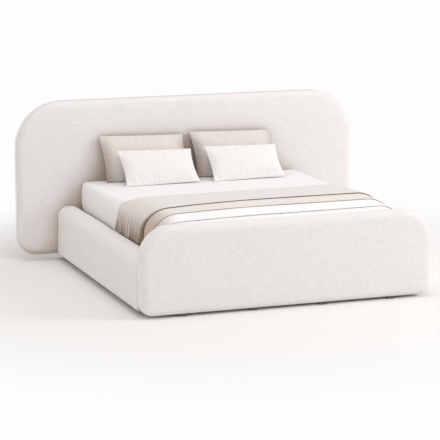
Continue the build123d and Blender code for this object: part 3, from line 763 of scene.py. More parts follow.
@dataclass
class PaddedEnd:
    """A padded bed end: a rounded slab with rolled edges, a crowned face and corded seams."""

    name: str
    cloth: str
    width: float
    bottom: float
    top: float
    front: float
    back: float
    top_radius: float
    bottom_radius: float
    roll: float
    back_roll: float
    crown: float
    seed: float
    nodes: tuple[str, ...]
    seam_lines: tuple[float, ...] = ()
    seam_inset: float = 0.0004
    cord_radius: float = 0.0022
    lining_inset: float = 0.0
    lining_depth: float = 0.0035
    face_wave: float = 0.0016
    side_wave: float = 0.0012
    corner_steps: int = 20
    roll_steps: int = 8
    voxel: float = 0.013
    passes: int = 6

    def outline(self, bm: bmesh.types.BMesh, inset: float, y: float) -> bmesh.types.BMFace:
        """Draw the end's rounded outline as one face.

        Args:
            bm: The bmesh that takes it.
            inset: How far it is drawn in.
            y: Where it stands.

        Returns:
            The face.
        """
        middle = (self.top + self.bottom) / 2
        half_height = (self.top - self.bottom) / 2 - inset
        place = Matrix.Translation((0, y, middle)) @ Matrix.Rotation(math.pi / 2, 4, "X")
        scale = Matrix.Diagonal((self.width / 2 - inset, half_height, 1.0, 1.0))
        made = bmesh.ops.create_grid(bm, x_segments=1, y_segments=1, size=1.0, matrix=place @ scale)
        for high, radius in ((True, self.top_radius), (False, self.bottom_radius)):
            corners = [v for v in made["verts"] if v.is_valid and (v.co.z > middle) == high]
            rounded(bm, corners, radius - inset, self.corner_steps, "VERTICES")
        bm.faces.ensure_lookup_table()
        return bm.faces[-1]

    def slab(self) -> bmesh.types.BMesh:
        """Draw the whole end with its front and back edges rolled over.

        Returns:
            The closed slab.
        """
        bm = bmesh.new()
        moved = doubled(bm, [self.outline(bm, 0.0, self.back)])
        bmesh.ops.translate(bm, vec=(0, self.front - self.back, 0), verts=moved)
        for level, roll in ((self.front, self.roll), (self.back, self.back_roll)):
            rounded(bm, [edge for edge in bm.edges if is_level(edge, 1, level)], roll, self.roll_steps)
        bmesh.ops.recalc_face_normals(bm, faces=bm.faces)
        return bm

    def margins(self, place: Vector, inset: float = 0.0) -> tuple[float, float, float]:
        """Measure a place against the outline.

        Args:
            place: The place.
            inset: How far the outline is drawn in.

        Returns:
            How far it lies inside the side and inside the top or bottom, and the near corner's radius.
        """
        middle = (self.top + self.bottom) / 2
        across = self.width / 2 - abs(place.x)
        upright = (self.top - self.bottom) / 2 - abs(place.z - middle)
        radius = self.top_radius if place.z > middle else self.bottom_radius
        return across - inset, upright - inset, radius - inset

    def edge_share(self, place: Vector) -> float:
        """Tell how far a place lies inside the rolled edge.

        Args:
            place: The place.

        Returns:
            Nought on the edge, one where the face is flat.
        """
        across, upright, radius = self.margins(place)
        depth = min(across, upright)
        if max(across, upright) < radius:
            depth = radius - math.hypot(radius - across, radius - upright)
        return smooth_step(0.0, 4.5 * self.roll, depth)

    def inside(self, place: Vector, inset: float) -> bool:
        """Tell whether a place lies inside the outline.

        Args:
            place: The place.
            inset: How far the outline is drawn in.

        Returns:
            Whether it does.
        """
        across, upright, radius = self.margins(place, inset)
        if min(across, upright) < 0:
            return False
        return max(across, upright) >= radius or math.hypot(radius - across, radius - upright) <= radius

    def soften(self, place: Vector) -> Vector:
        """Crown the faces, sink the lining and give the padding its slight unevenness.

        Args:
            place: A place on the skin.

        Returns:
            The place after it.
        """
        share = self.edge_share(place)
        wave = 0.6 * undulation(place, 0.34, self.seed) + 0.4 * undulation(place, 0.13, self.seed + 5)
        middle = (self.front + self.back) / 2
        reach = (place.y - middle) / ((self.back - self.front) / 2)
        if place.y < middle:
            place.y += self.crown * (1 - share) * abs(reach) + self.face_wave * wave * abs(reach)
        elif self.lining_inset and share > 0.02 and self.inside(place, self.lining_inset):
            place.y -= self.lining_depth
        across = 1 - smooth_step(0.0, 1.0, abs(reach))
        place.x -= math.copysign(self.side_wave * wave * across, place.x)
        return place

    def seam(self, y: float, finish: bpy.types.Material, number: int) -> bpy.types.Object:
        """Lay a corded seam round the end's rim.

        Args:
            y: Where the seam runs.
            finish: The cord's finish.
            number: The seam's number from the front.

        Returns:
            The cord.
        """
        bm = bmesh.new()
        line = [vertex.co.copy() for vertex in self.outline(bm, self.seam_inset, y).verts]
        bm.free()
        return corded(f"{self.name}_seam_{number}", line, self.cord_radius, finish, True)

    def build(self, materials: Materials) -> bpy.types.Object:
        """Make the end and its seams, and set them on the frame.

        Args:
            materials: The bed's finishes.

        Returns:
            The padded end.
        """
        piece = new_piece(self.name, self.slab(), materials[self.cloth])
        warped(remeshed(piece, self.voxel, self.passes), self.soften)
        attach(piece, "bed_frame")
        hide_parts(*self.nodes)
        for number, y in enumerate(self.seam_lines, 1):
            cord = self.seam(y, materials["piping"], number)
            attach(cord, "bed_frame")
        return piece


@dataclass
class SideRail:
    """A padded side rail: one cover wrapped from under it over its round crest and down inside."""

    side: int
    thickness: float = 0.185
    bottom: float = 0.04
    top: float = 0.43
    crest_radius: float = 0.08
    foot_radius: float = 0.025
    hem: float = 0.175
    underside: float = 0.08
    start: float = -1.0047
    end: float = 1.0247
    padding: float = 0.016
    steps: int = 96
    crest_wave: float = 0.0022
    side_wave: float = 0.0016
    head_draw: float = 0.004

    def path(self) -> list[tuple[float, float]]:
        """Draw the cover's line in section, outwards from the bed's middle.

        Returns:
            Pairs of place and height.
        """
        outer = BED_WIDTH / 2
        foot = self.foot_radius
        crest = self.crest_radius
        inner = outer - self.thickness
        spring = self.top - crest
        flat = spring - self.bottom - foot
        points = [(outer - self.underside, self.bottom)]
        points += arc(outer - foot, self.bottom + foot, foot, -90, 6)
        points += [(outer, self.bottom + foot + step / 12 * flat) for step in range(1, 12)]
        points += arc(outer - crest, spring, crest, 0, 14)
        points += arc(inner + crest, spring, crest, 90, 14)
        points += [(inner, spring - step / 8 * (spring - self.hem)) for step in range(1, 9)]
        return points

    def settle(self, place: Vector) -> Vector:
        """Give the padding its slight unevenness, and draw its foot end on round the footboard's edge.

        Args:
            place: A place on the cover.

        Returns:
            The place after it.
        """
        wave = undulation(place, 0.3, 3.0 + self.side) + 0.5 * undulation(place, 0.12, 9.0)
        near_head = 1 - smooth_step(0.0, 0.05, self.end - place.y)
        outward = smooth_step(0.08, 0.3, place.z)
        crest = smooth_step(0.3, 0.42, place.z)
        place.z -= self.crest_wave * (1 + wave) * crest + self.head_draw * near_head * outward
        if abs(place.x) > BED_WIDTH / 2 - self.thickness / 2:
            pull = (self.side_wave * (1 + wave) + self.head_draw * near_head) * outward
            place.x -= math.copysign(pull, place.x)
        roll = FOOTBOARD_BACK_ROLL
        past = min(max(abs(place.x) - (BED_WIDTH / 2 - roll) - 0.002, 0.0), roll - 0.006)
        follow = roll - math.sqrt(roll * roll - past * past)
        place.y -= follow * (1 - smooth_step(0.0, 0.12, place.y - self.start))
        return place

    def build(self, materials: Materials) -> bpy.types.Object:
        """Make the wrapped rail and set it on the frame.

        Args:
            materials: The bed's finishes.

        Returns:
            The rail's cover.
        """
        path = self.path()
        last = len(path) - 1
        bm = bmesh.new()
        bmesh.ops.create_grid(bm, x_segments=last, y_segments=self.steps, size=0.5)
        for vertex in bm.verts:
            x, z = path[round((vertex.co.x + 0.5) * last)]
            y = self.start + (vertex.co.y + 0.5) * (self.end - self.start)
            vertex.co = self.settle(Vector((self.side * x, y, z)))
        bmesh.ops.recalc_face_normals(bm, faces=bm.faces)
        probe = max(bm.faces, key=lambda face: abs(face.calc_center_median().x))
        if probe.normal.x * self.side < 0:
            bmesh.ops.reverse_faces(bm, faces=bm.faces)
        label = "left" if self.side < 0 else "right"
        piece = new_piece(f"{label}_padded_rail", bm, materials["upholstery"])
        thickened(piece, self.padding)
        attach(piece, "bed_frame")
        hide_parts(f"{label}_rail_cover", f"{label}_rail_foam")
        return piece


SIDE_STEPS = 64
TOP_STEPS = 32
HEM_STEPS = 8
SECTION_FIELDS = ("side", "left", "crown", "right", "reach", "fall", "lean")


@dataclass(frozen=True)
class Section:
    """A bed layer's cross section: a crowned top, elliptical shoulders and upright sides."""

    y: float
    side: float
    left: float
    crown: float
    right: float
    reach: float
    fall: float
    lean: float = 0.0

    def grown(self, amount: float) -> "Section":
        """The same section with its surface moved outwards; its lean stays."""
        return replace(self, **{name: getattr(self, name) + amount for name in SECTION_FIELDS[:-1]})

    def mixed(self, other: "Section", share: float) -> "Section":
        """A section part of the way to another one."""
        values = (
            getattr(self, name) * (1 - share) + getattr(other, name) * share for name in SECTION_FIELDS
        )
        return Section(self.y, *values)

    def profile(self, side: int, hem: float) -> list[ProfilePoint]:
        """Walk over one half of the section.

        Args:
            side: Minus one to the left, one to the right.
            hem: The height it ends at.

        Returns:
            The cloth's length so far, the point and the outward direction at each step.
        """
        shoulder = self.left if side < 0 else self.right
        flat = self.side - self.reach
        round_reach = self.reach - self.lean
        rise = self.crown - shoulder
        points = []
        for step in range(TOP_STEPS + 1):
            share = step / TOP_STEPS
            out = Vector((side * 2 * rise * share / flat, 0, 1)).normalized()
            height = self.crown - rise * share * share
            points.append((Vector((side * flat * share, self.y, height)), out))
        for step in range(1, SIDE_STEPS + 1):
            turn = math.pi / 2 * step / SIDE_STEPS
            across = flat + round_reach * math.sin(turn)
            height = shoulder - self.fall * (1 - math.cos(turn))
            out = Vector((side * self.fall * math.sin(turn), 0, round_reach * math.cos(turn)))
            points.append((Vector((side * across, self.y, height)), out.normalized()))
        for step in range(1, HEM_STEPS + 1):
            share = step / HEM_STEPS
            across = self.side - self.lean * (1 - share)
            height = shoulder - self.fall + (hem - shoulder + self.fall) * share
            points.append((Vector((side * across, self.y, height)), Vector((side, 0, 0))))
        length = 0.0
        walked = []
        last = points[0][0]
        for point, out in points:
            length += (point - last).length
            last = point
            walked.append((length, point, out))
        return walked

    def halves(self, hem: float) -> Halves:
        """Both halves of the section, left and right."""
        return {side: self.profile(side, hem) for side in (-1, 1)}


def along_profile(profile: Sequence[ProfilePoint], length: float) -> tuple[Vector, Vector]:
    """Find a place on a profile.

    Args:
        profile: One half of a section.
        length: How far along it.

    Returns:
        The point and the outward direction there.
    """
    for (near, first, out), (far, second, turned) in zip(profile, profile[1:]):
        if length <= far:
            share = (length - near) / (far - near)
            return first.lerp(second, share), out.lerp(turned, share).normalized()
    return profile[-1][1], profile[-1][2]


def sheet_section(y: float, lift: float) -> Section:
    """The fitted sheet's section, which the bedding presses rounder."""
    radius = MATTRESS_EDGE + 0.051 * smooth_step(0.35, 0.02, y)
    return Section(y, MATTRESS_WIDTH / 2, *[MATTRESS_TOP] * 3, radius, radius).grown(lift)


def limited_slope(before: float, here: float, after: float, near_span: float, far_span: float) -> float:
    """Find a slope that keeps a curve from overshooting its neighbours.

    Args:
        before: The value before the point.
        here: The value at the point.
        after: The value after it.
        near_span: The distance to the value before.
        far_span: The distance to the value after.

    Returns:
        The slope at the point.
    """
    if near_span == 0 or far_span == 0:
        return 0.0
    first = (here - before) / near_span
    second = (after - here) / far_span
    return 2 * first * second / (first + second) if first * second > 0 else 0.0


class BedShape:
    """The made bed's surface: cross sections from the head to the foot, joined by smooth curves."""

    sections: tuple[Section, ...] = (
        Section(-0.045, 0.915, 0.6400, 0.6400, 0.6430, 0.150, 0.095, 0.015),
        Section(-0.085, 0.915, 0.6540, 0.6560, 0.6620, 0.180, 0.105, 0.012),
        Section(-0.300, 0.915, 0.6600, 0.6720, 0.6720, 0.190, 0.135, 0.008),
        Section(-0.615, 0.914, 0.6660, 0.6860, 0.6840, 0.195, 0.163, 0.008),
        Section(-0.805, 0.912, 0.6620, 0.6770, 0.6770, 0.195, 0.160, 0.006),
        Section(-0.935, 0.911, 0.6320, 0.6460, 0.6520, 0.180, 0.100, 0.006),
        Section(-0.985, 0.911, 0.6250, 0.6300, 0.6330, 0.130, 0.070, 0.004),
    )

    def at(self, y: float, lift: float) -> Section:
        """Find the section at a place along the bed.

        Args:
            y: The place along the bed.
            lift: How far the surface is moved outwards.

        Returns:
            The section there.
        """
        rows = self.sections
        held = min(max(y, rows[-1].y), rows[0].y)
        index = next(place for place in range(len(rows) - 1) if held >= rows[place + 1].y)
        share = (rows[index].y - held) / (rows[index].y - rows[index + 1].y)
        values = [self.curve(name, index, share) for name in SECTION_FIELDS]
        return Section(y, *values).grown(lift)

    def curve(self, name: str, index: int, share: float) -> float:
        """Find one value of the section between two rows, on a curve through the rows.

        Args:
            name: The value's name.
            index: The row before the place.
            share: How far the place lies towards the next row.

        Returns:
            The value.
        """
        end = len(self.sections) - 1
        rows = [self.sections[min(max(index + step, 0), end)] for step in (-1, 0, 1, 2)]
        before, near, far, after = [getattr(row, name) for row in rows]
        near_span, span, far_span = [first.y - second.y for first, second in zip(rows, rows[1:])]
        near_slope = limited_slope(before, near, far, near_span, span)
        far_slope = limited_slope(near, far, after, span, far_span)
        square = share * share
        cube = square * share
        return (
            (2 * cube - 3 * square + 1) * near
            + (cube - 2 * square + share) * near_slope * span
            + (3 * square - 2 * cube) * far
            + (cube - square) * far_slope * span
        )


def map_threads(bm: bmesh.types.BMesh, cloth: dict[bmesh.types.BMVert, tuple[float, float]]) -> None:
    """Write each point's place on the flat cloth into the thread map.

    Args:
        bm: The cloth, which has the map's layer.
        cloth: Each point's place across and along the cloth.
    """
    threads = bm.loops.layers.uv[THREAD_MAP]
    for face in bm.faces:
        for loop in face.loops:
            loop[threads].uv = cloth[loop.vert]


@dataclass
class BedLayer:
    """A cloth laid over the made bed and down both sides, with a cord sewn into its foot edge."""

    name: str
    body: str
    slot: str
    cloth: str
    cord: str
    head: float
    foot: float
    lift: float
    thickness: float
    cord_radius: float
    seed: float
    rests_on: tuple[str, ...]
    hem: float = HEM
    columns: int = 150
    rows: int = 60
    cord_steps: int = 220
    wave_size: float = 0.28
    wave_depth: float = 0.0012

    def section(self, shape: BedShape, y: float) -> Section:
        """The layer's own section at a place along the bed."""
        return shape.at(y, self.lift)

    def fold(self, distance: float, section: Section, reach: float) -> tuple[float, float]:
        """Shape the cloth at a place.

        Args:
            distance: How far the place lies from the bed's middle along the cloth.
            section: The layer's section there.
            reach: The cloth's length from the middle to the hem.

        Returns:
            How far the place stands out, and how much painted shade it takes, which grows where it
            hangs.
        """
        run = abs(distance)
        # The share that hangs down the bed's sides, which also sets the painted shade
        hang = smooth_step(section.side - 0.9 * section.reach, section.side + 0.1 * section.fall, run)
        wave = undulation(Vector((distance, section.y, 0.0)), self.wave_size, self.seed)
        return -self.wave_depth * (1 + wave) * (1 - 0.6 * hang), hang

    def laid(
        self, section: Section, halves: Halves, share: float, out_by: float = 0.0
    ) -> tuple[Vector, float, float]:
        """Find a point of the cloth.

        Args:
            section: The layer's section at the point.
            halves: The section's two profiles.
            share: The point's place from hem to hem, from minus one to one.
            out_by: How far outside the cloth's surface it lies.

        Returns:
            The point, how far it lies from the bed's middle along the cloth, and its painted shade.
        """
        half = halves[-1 if share < 0 else 1]
        reach = half[-1][0]
        distance = share * reach
        point, out = along_profile(half, abs(distance))
        stand, darker = self.fold(distance, section, reach)
        return point + out * (stand + out_by), distance, darker

    def surface(self, shape: BedShape) -> bmesh.types.BMesh:
        """Lay a grid of cloth over the bed.

        Args:
            shape: The made bed's surface.

        Returns:
            The outer surface, with its thread map and painted shade.
        """
        bm = bmesh.new()
        bmesh.ops.create_grid(bm, x_segments=self.columns, y_segments=self.rows, size=0.5)
        painted_shade = bm.verts.layers.float.new(PAINTED_SHADE_LAYER)
        bm.loops.layers.uv.new(THREAD_MAP)
        lines = {}
        cloth = {}
        for vertex in bm.verts:
            row = round((0.5 - vertex.co.y) * self.rows)
            if row not in lines:
                section = self.section(shape, self.head + (self.foot - self.head) * row / self.rows)
                lines[row] = (section, section.halves(self.hem))
            section, halves = lines[row]
            vertex.co, distance, vertex[painted_shade] = self.laid(section, halves, 2 * vertex.co.x)
            cloth[vertex] = (distance, section.y)
        map_threads(bm, cloth)
        top = max(bm.faces, key=lambda face: face.calc_center_median().z)
        if top.normal.z < 0:
            bmesh.ops.reverse_faces(bm, faces=bm.faces)
        return bm

    def edge(self, shape: BedShape) -> list[Vector]:
        """Find the line that the foot edge's cord follows, from hem to hem.

        Args:
            shape: The made bed's surface.

        Returns:
            The line's points.
        """
        section = self.section(shape, self.foot - 0.5 * self.cord_radius)
        halves = section.halves(self.hem)
        steps = self.cord_steps
        shares = [2 * step / steps - 1 for step in range(steps + 1)]
        return [self.laid(section, halves, share, -0.5 * self.thickness)[0] for share in shares]

    def build(self, shape: BedShape, materials: Materials) -> bpy.types.Object:
        """Make the layer and its cord, and set them on their body.

        Args:
            shape: The made bed's surface.
            materials: The bed's finishes.

        Returns:
            The layer.
        """
        piece = new_piece(self.name, self.surface(shape), materials[self.cloth])
        thickened(piece, self.thickness)
        middle = self.section(shape, (self.head + self.foot) / 2)
        width = sum(half[-1][0] for half in middle.halves(self.hem).values())
        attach(piece, self.body)
        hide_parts(self.body)
        list(self.rests_on)
        line = self.edge(shape)
        cord = corded(f"{self.name}_foot_cord", line, self.cord_radius, materials[self.cord], False)
        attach(cord, self.body)
        return piece


@dataclass
class PleatedThrow(BedLayer):
    """The linen throw: it starts on the sheet, lies over the duvet and hangs in round pleats."""

    pleats: int = 10
    depth: float = 0.02
    wave_size: float = 0.3
    wave_depth: float = 0.001
    rest: float = MATTRESS_TOP + 0.0078

    def section(self, shape: BedShape, y: float) -> Section:
        """Find the throw's own section, which comes down to the sheet at its head edge.

        Args:
            shape: The made bed's surface.
            y: The place along the bed.

        Returns:
            The section there.
        """
        over = shape.at(y, self.lift)
        lying = Section(y, over.side, *[self.rest] * 3, 0.110, 0.078, 0.020)
        return over.mixed(lying, smooth_step(-0.07, 0.04, y))

    def pleat(self, along: float, side: float) -> tuple[float, float]:
        """Find the fold at a place along the hem.

        Args:
            along: The place, from nought at the head edge to one at the foot edge.
            side: Minus one on the left, one on the right.

        Returns:
            The fold's height from nought to one, and its number.
        """
        place = along * self.pleats
        place += 0.75 * noise.noise(Vector((2.1 * along * self.pleats, self.seed, side)))
        number = math.floor(place)
        strength = 0.72 + 0.4 * noise.noise(Vector((number * 3.1, self.seed, 4.0 + side)))
        return abs(math.sin(math.pi * (place - number))) ** 1.2 * min(strength, 1.0), number

    def fold(self, distance: float, section: Section, reach: float) -> tuple[float, float]:
        """Shape the cloth at a place.

        Args:
            distance: How far the place lies from the bed's middle along the cloth.
            section: The throw's section there.
            reach: The cloth's length from the middle to the hem.

        Returns:
            How far a pleat stands out, and how much painted shade its valley, its hanging side and its
            hem take.
        """
        run = abs(distance)
        side = math.copysign(1.0, distance)
        ridge, number = self.pleat((self.head - section.y) / (self.head - self.foot), side)
        shift = 0.035 * noise.noise(Vector((number * 1.7, self.seed, side)))
        head = section.side - 0.25 * section.reach + shift
        level = smooth_step(head, reach, run)
        stand = self.depth * (0.2 + 0.8 * level) * ridge * smooth_step(head, head + 0.13, run)
        # Painted shade in the pleats' valleys
        valley = (1 - ridge) ** 0.8 * smooth_step(head, head + 0.14, run)
        wave = undulation(Vector((distance, section.y, 0.0)), self.wave_size, self.seed)
        # Painted shade where the throw hangs, deepest towards the hem, and a painted shadow along the
        # foot edge where it hangs
        hang = smooth_step(section.side - 0.9 * section.reach, section.side + 0.2 * section.fall, run)
        low = smooth_step(reach - 0.12, reach, run)
        rim = smooth_step(0.055, 0.01, section.y - self.foot) * hang
        painted_shade = 0.08 * hang + 1.2 * valley * (0.42 + 0.4 * low) + 0.04 * low + 0.9 * rim
        return stand - self.wave_depth * (1 + wave) * (1 - hang), min(painted_shade, 1.0)


@dataclass
class Duvet:
    """The duvet: a filled body whose top follows the made bed and whose underside lies on the sheet."""

    head: float = -0.045
    foot: float = -0.985
    columns: int = 150
    rows: int = 90
    channel: float = 0.31
    dimple: float = 0.007

    def stitched(self, distance: float, y: float) -> float:
        """Find how deep the sewn channels draw the cover in at a place.

        Args:
            distance: How far the place lies from the bed's middle along the cover.
            y: The place along the bed.

        Returns:
            The depth.
        """
        across = abs(math.sin(math.pi * distance / self.channel))
        along = abs(math.sin(math.pi * (y + 0.02) / self.channel))
        return self.dimple * max((1 - across) ** 6, (1 - along) ** 6)

    def build(self, shape: BedShape, materials: Materials) -> bpy.types.Object:
        """Make the duvet and set it on its body.

        Args:
            shape: The made bed's surface.
            materials: The bed's finishes.

        Returns:
            The duvet.
        """
        bm = bmesh.new()
        bmesh.ops.create_grid(bm, x_segments=self.columns, y_segments=self.rows, size=0.5)
        bm.loops.layers.uv.new(THREAD_MAP)
        # Painted shade share, left at nought on the duvet
        bm.verts.layers.float.new(PAINTED_SHADE_LAYER)
        lower = set(doubled(bm, bm.faces))
        lines = {}
        cloth = {}
        for vertex in bm.verts:
            row = round((0.5 - vertex.co.y) * self.rows)
            under = vertex in lower
            if (row, under) not in lines:
                y = self.head + (self.foot - self.head) * row / self.rows
                section = sheet_section(y, CLEAR) if under else shape.at(y, 0.0)
                lines[row, under] = (section, section.halves(HEM))
            section, halves = lines[row, under]
            half = halves[-1 if vertex.co.x < 0 else 1]
            distance = 2 * vertex.co.x * half[-1][0]
            point, out = along_profile(half, abs(distance))
            if not under:
                deepest = 0.25 * (section.crown - MATTRESS_TOP)
                point -= out * min(self.stitched(distance, section.y), deepest)
            cloth[vertex] = (distance, section.y)
            vertex.co = point
        map_threads(bm, cloth)
        bmesh.ops.recalc_face_normals(bm, faces=bm.faces)
        piece = new_piece("filled_duvet", bm, materials["duvet"])
        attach(piece, "duvet")
        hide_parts("duvet")
        return piece


@dataclass
class Mattress:
    """The mattress in its fitted sheet: a soft block with round corners, open underneath."""

    bottom: float = 0.3666
    corner: float = MATTRESS_EDGE
    edge: float = 0.028
    tuck: float = 0.16
    case_inset: float = 0.004
    sheet_thickness: float = 0.0012
    voxel: float = 0.014
    bulge: float = 0.009
    wave_depth: float = 0.0012
    edge_dip: float = 0.003

    def block(self, inset: float) -> bmesh.types.BMesh:
        """Draw the block with round upright corners and rolled edges.

        Args:
            inset: How far it is drawn in.

        Returns:
            The block.
        """
        low, high = self.bottom + inset, MATTRESS_TOP - inset
        size = (MATTRESS_WIDTH - 2 * inset, MATTRESS_LENGTH - 2 * inset, high - low)
        bm = block((0, MATTRESS_MIDDLE, (low + high) / 2), size)
        rounded(bm, upright_edges(bm), self.corner - inset, 8)
        rims = [edge for edge in bm.edges if is_level(edge, 2, low) or is_level(edge, 2, high)]
        rounded(bm, rims, self.edge - inset, 6)
        bmesh.ops.recalc_face_normals(bm, faces=bm.faces)
        return bm

    def relax(self, inset: float, place: Vector) -> Vector:
        """Let the cloth lie a little uneven over the fill, and press the edges round under the bedding.

        Args:
            inset: How far inside the sheet this skin lies.
            place: A place on the skin.

        Returns:
            The place after it.
        """
        half_width, half_length = MATTRESS_WIDTH / 2, MATTRESS_LENGTH / 2
        radius = sheet_section(place.y, 0.0).reach
        across = abs(place.x) - (half_width - radius)
        upright = place.z - (MATTRESS_TOP - radius)
        if across > 0 and upright > 0 and math.hypot(across, upright) > radius - inset:
            scale = (radius - inset) / math.hypot(across, upright)
            place.x = math.copysign(half_width - radius + across * scale, place.x)
            place.z = MATTRESS_TOP - radius + upright * scale
        wave = undulation(place, 0.35, 21.0) + 0.5 * undulation(place, 0.11, 22.0)
        high = smooth_step(self.bottom + 0.1, MATTRESS_TOP, place.z)
        along = place.y - MATTRESS_MIDDLE
        inward = 1 - smooth_step(0.0, 0.25, min(half_width - abs(place.x), half_length - abs(along)))
        place.z -= self.wave_depth * (1 + wave) * high + self.edge_dip * inward * high
        level = (place.z - self.bottom) / (MATTRESS_TOP - self.bottom)
        bulge = self.bulge * math.sin(math.pi * min(max(level, 0.0), 1.0)) - 0.001 * (1 + wave)
        sideways = smooth_step(half_width - 0.09, half_width - 0.02, abs(place.x))
        endways = smooth_step(half_length - 0.09, half_length - 0.02, abs(along))
        place.x += math.copysign(bulge * sideways * smooth_step(0.08, 0.45, place.y), place.x)
        place.y += math.copysign(bulge * endways, along)
        return place

    def skin(self, name: str, inset: float, material: bpy.types.Material) -> bpy.types.Object:
        """Make one soft skin of the mattress.

        Args:
            name: The skin's name.
            inset: How far inside the sheet it lies.
            material: Its finish.

        Returns:
            The closed skin.
        """
        piece = remeshed(new_piece(name, self.block(inset), material), self.voxel, 5)
        return smoothed(warped(piece, partial(self.relax, inset)), 4)

    def open_below(self, piece: bpy.types.Object) -> None:
        """Cut the sheet's underside away inside its tuck.

        Args:
            piece: The sheet.
        """
        bm = bmesh.new()
        bm.from_mesh(piece.data)
        under = [f for f in bm.faces if f.normal.z < -0.7 and self.in_opening(f.calc_center_median())]
        bmesh.ops.delete(bm, geom=under, context="FACES")
        bm.to_mesh(piece.data)
        bm.free()

    def in_opening(self, place: Vector) -> bool:
        """Whether a place lies inside the edge of the sheet's tuck."""
        return (
            place.z < self.bottom + 0.01
            and abs(place.x) < MATTRESS_WIDTH / 2 - self.tuck
            and abs(place.y - MATTRESS_MIDDLE) < MATTRESS_LENGTH / 2 - self.tuck
        )

    def build(self, materials: Materials) -> bpy.types.Object:
        """Make the cased fill and the sheet round it, and set them on their body.

        Args:
            materials: The bed's finishes.

        Returns:
            The fitted sheet.
        """
        core = self.skin("mattress_case", self.case_inset, materials["ticking"])
        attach(core, "mattress")
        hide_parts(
            "mattress_cover", "mattress_upper_foam", "mattress_lower_foam", "mattress_side_foam"
        )
        sheet = self.skin("fitted_percale_sheet", 0.0, materials["sheet"])
        self.open_below(sheet)
        thickened(sheet, self.sheet_thickness)
        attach(sheet, "mattress")
        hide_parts("fitted_sheet")
        return sheet


@dataclass
class SprungBase:
    """A sprung base in its ticking: a soft-edged box, open under its frame, with a corded top edge."""

    side: int
    bottom: float = 0.1703
    top: float = 0.3663
    inner: float = 0.002
    corner: float = 0.04
    edge: float = 0.012
    thickness: float = 0.002
    cord_radius: float = 0.0018
    cord_share: float = 0.998

    def build(self, materials: Materials) -> bpy.types.Object:
        """Make the ticking and its cord, and set them on their body.

        Args:
            materials: The bed's finishes.

        Returns:
            The ticking.
        """
        outer = MATTRESS_WIDTH / 2
        centre = self.side * (outer + self.inner) / 2
        size = (outer - self.inner, MATTRESS_LENGTH, self.top - self.bottom)
        bm = block((centre, MATTRESS_MIDDLE, (self.top + self.bottom) / 2), size)
        underside = [face for face in bm.faces if face.normal.z < -0.5]
        bmesh.ops.delete(bm, geom=underside, context="FACES_ONLY")
        rounded(bm, upright_edges(bm), self.corner, 7)
        rim = [edge for edge in bm.edges if is_level(edge, 2, self.top)]
        lid = max(bm.faces, key=lambda face: face.calc_center_median().z)
        line = [
            Vector((centre + (v.co.x - centre) * self.cord_share, v.co.y, v.co.z - self.edge))
            for v in lid.verts
        ]
        rounded(bm, rim, self.edge, 4)
        bmesh.ops.recalc_face_normals(bm, faces=bm.faces)
        label = "left" if self.side < 0 else "right"
        piece = thickened(new_piece(f"{label}_ticking", bm, materials["ticking"]), self.thickness)
        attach(piece, "sprung_bases")
        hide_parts(f"{label}_base_ticking", f"{label}_base_pad")
        cord = corded(f"{label}_base_cord", line, self.cord_radius, materials["ticking"], True)
        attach(cord, "sprung_bases")
        return piece


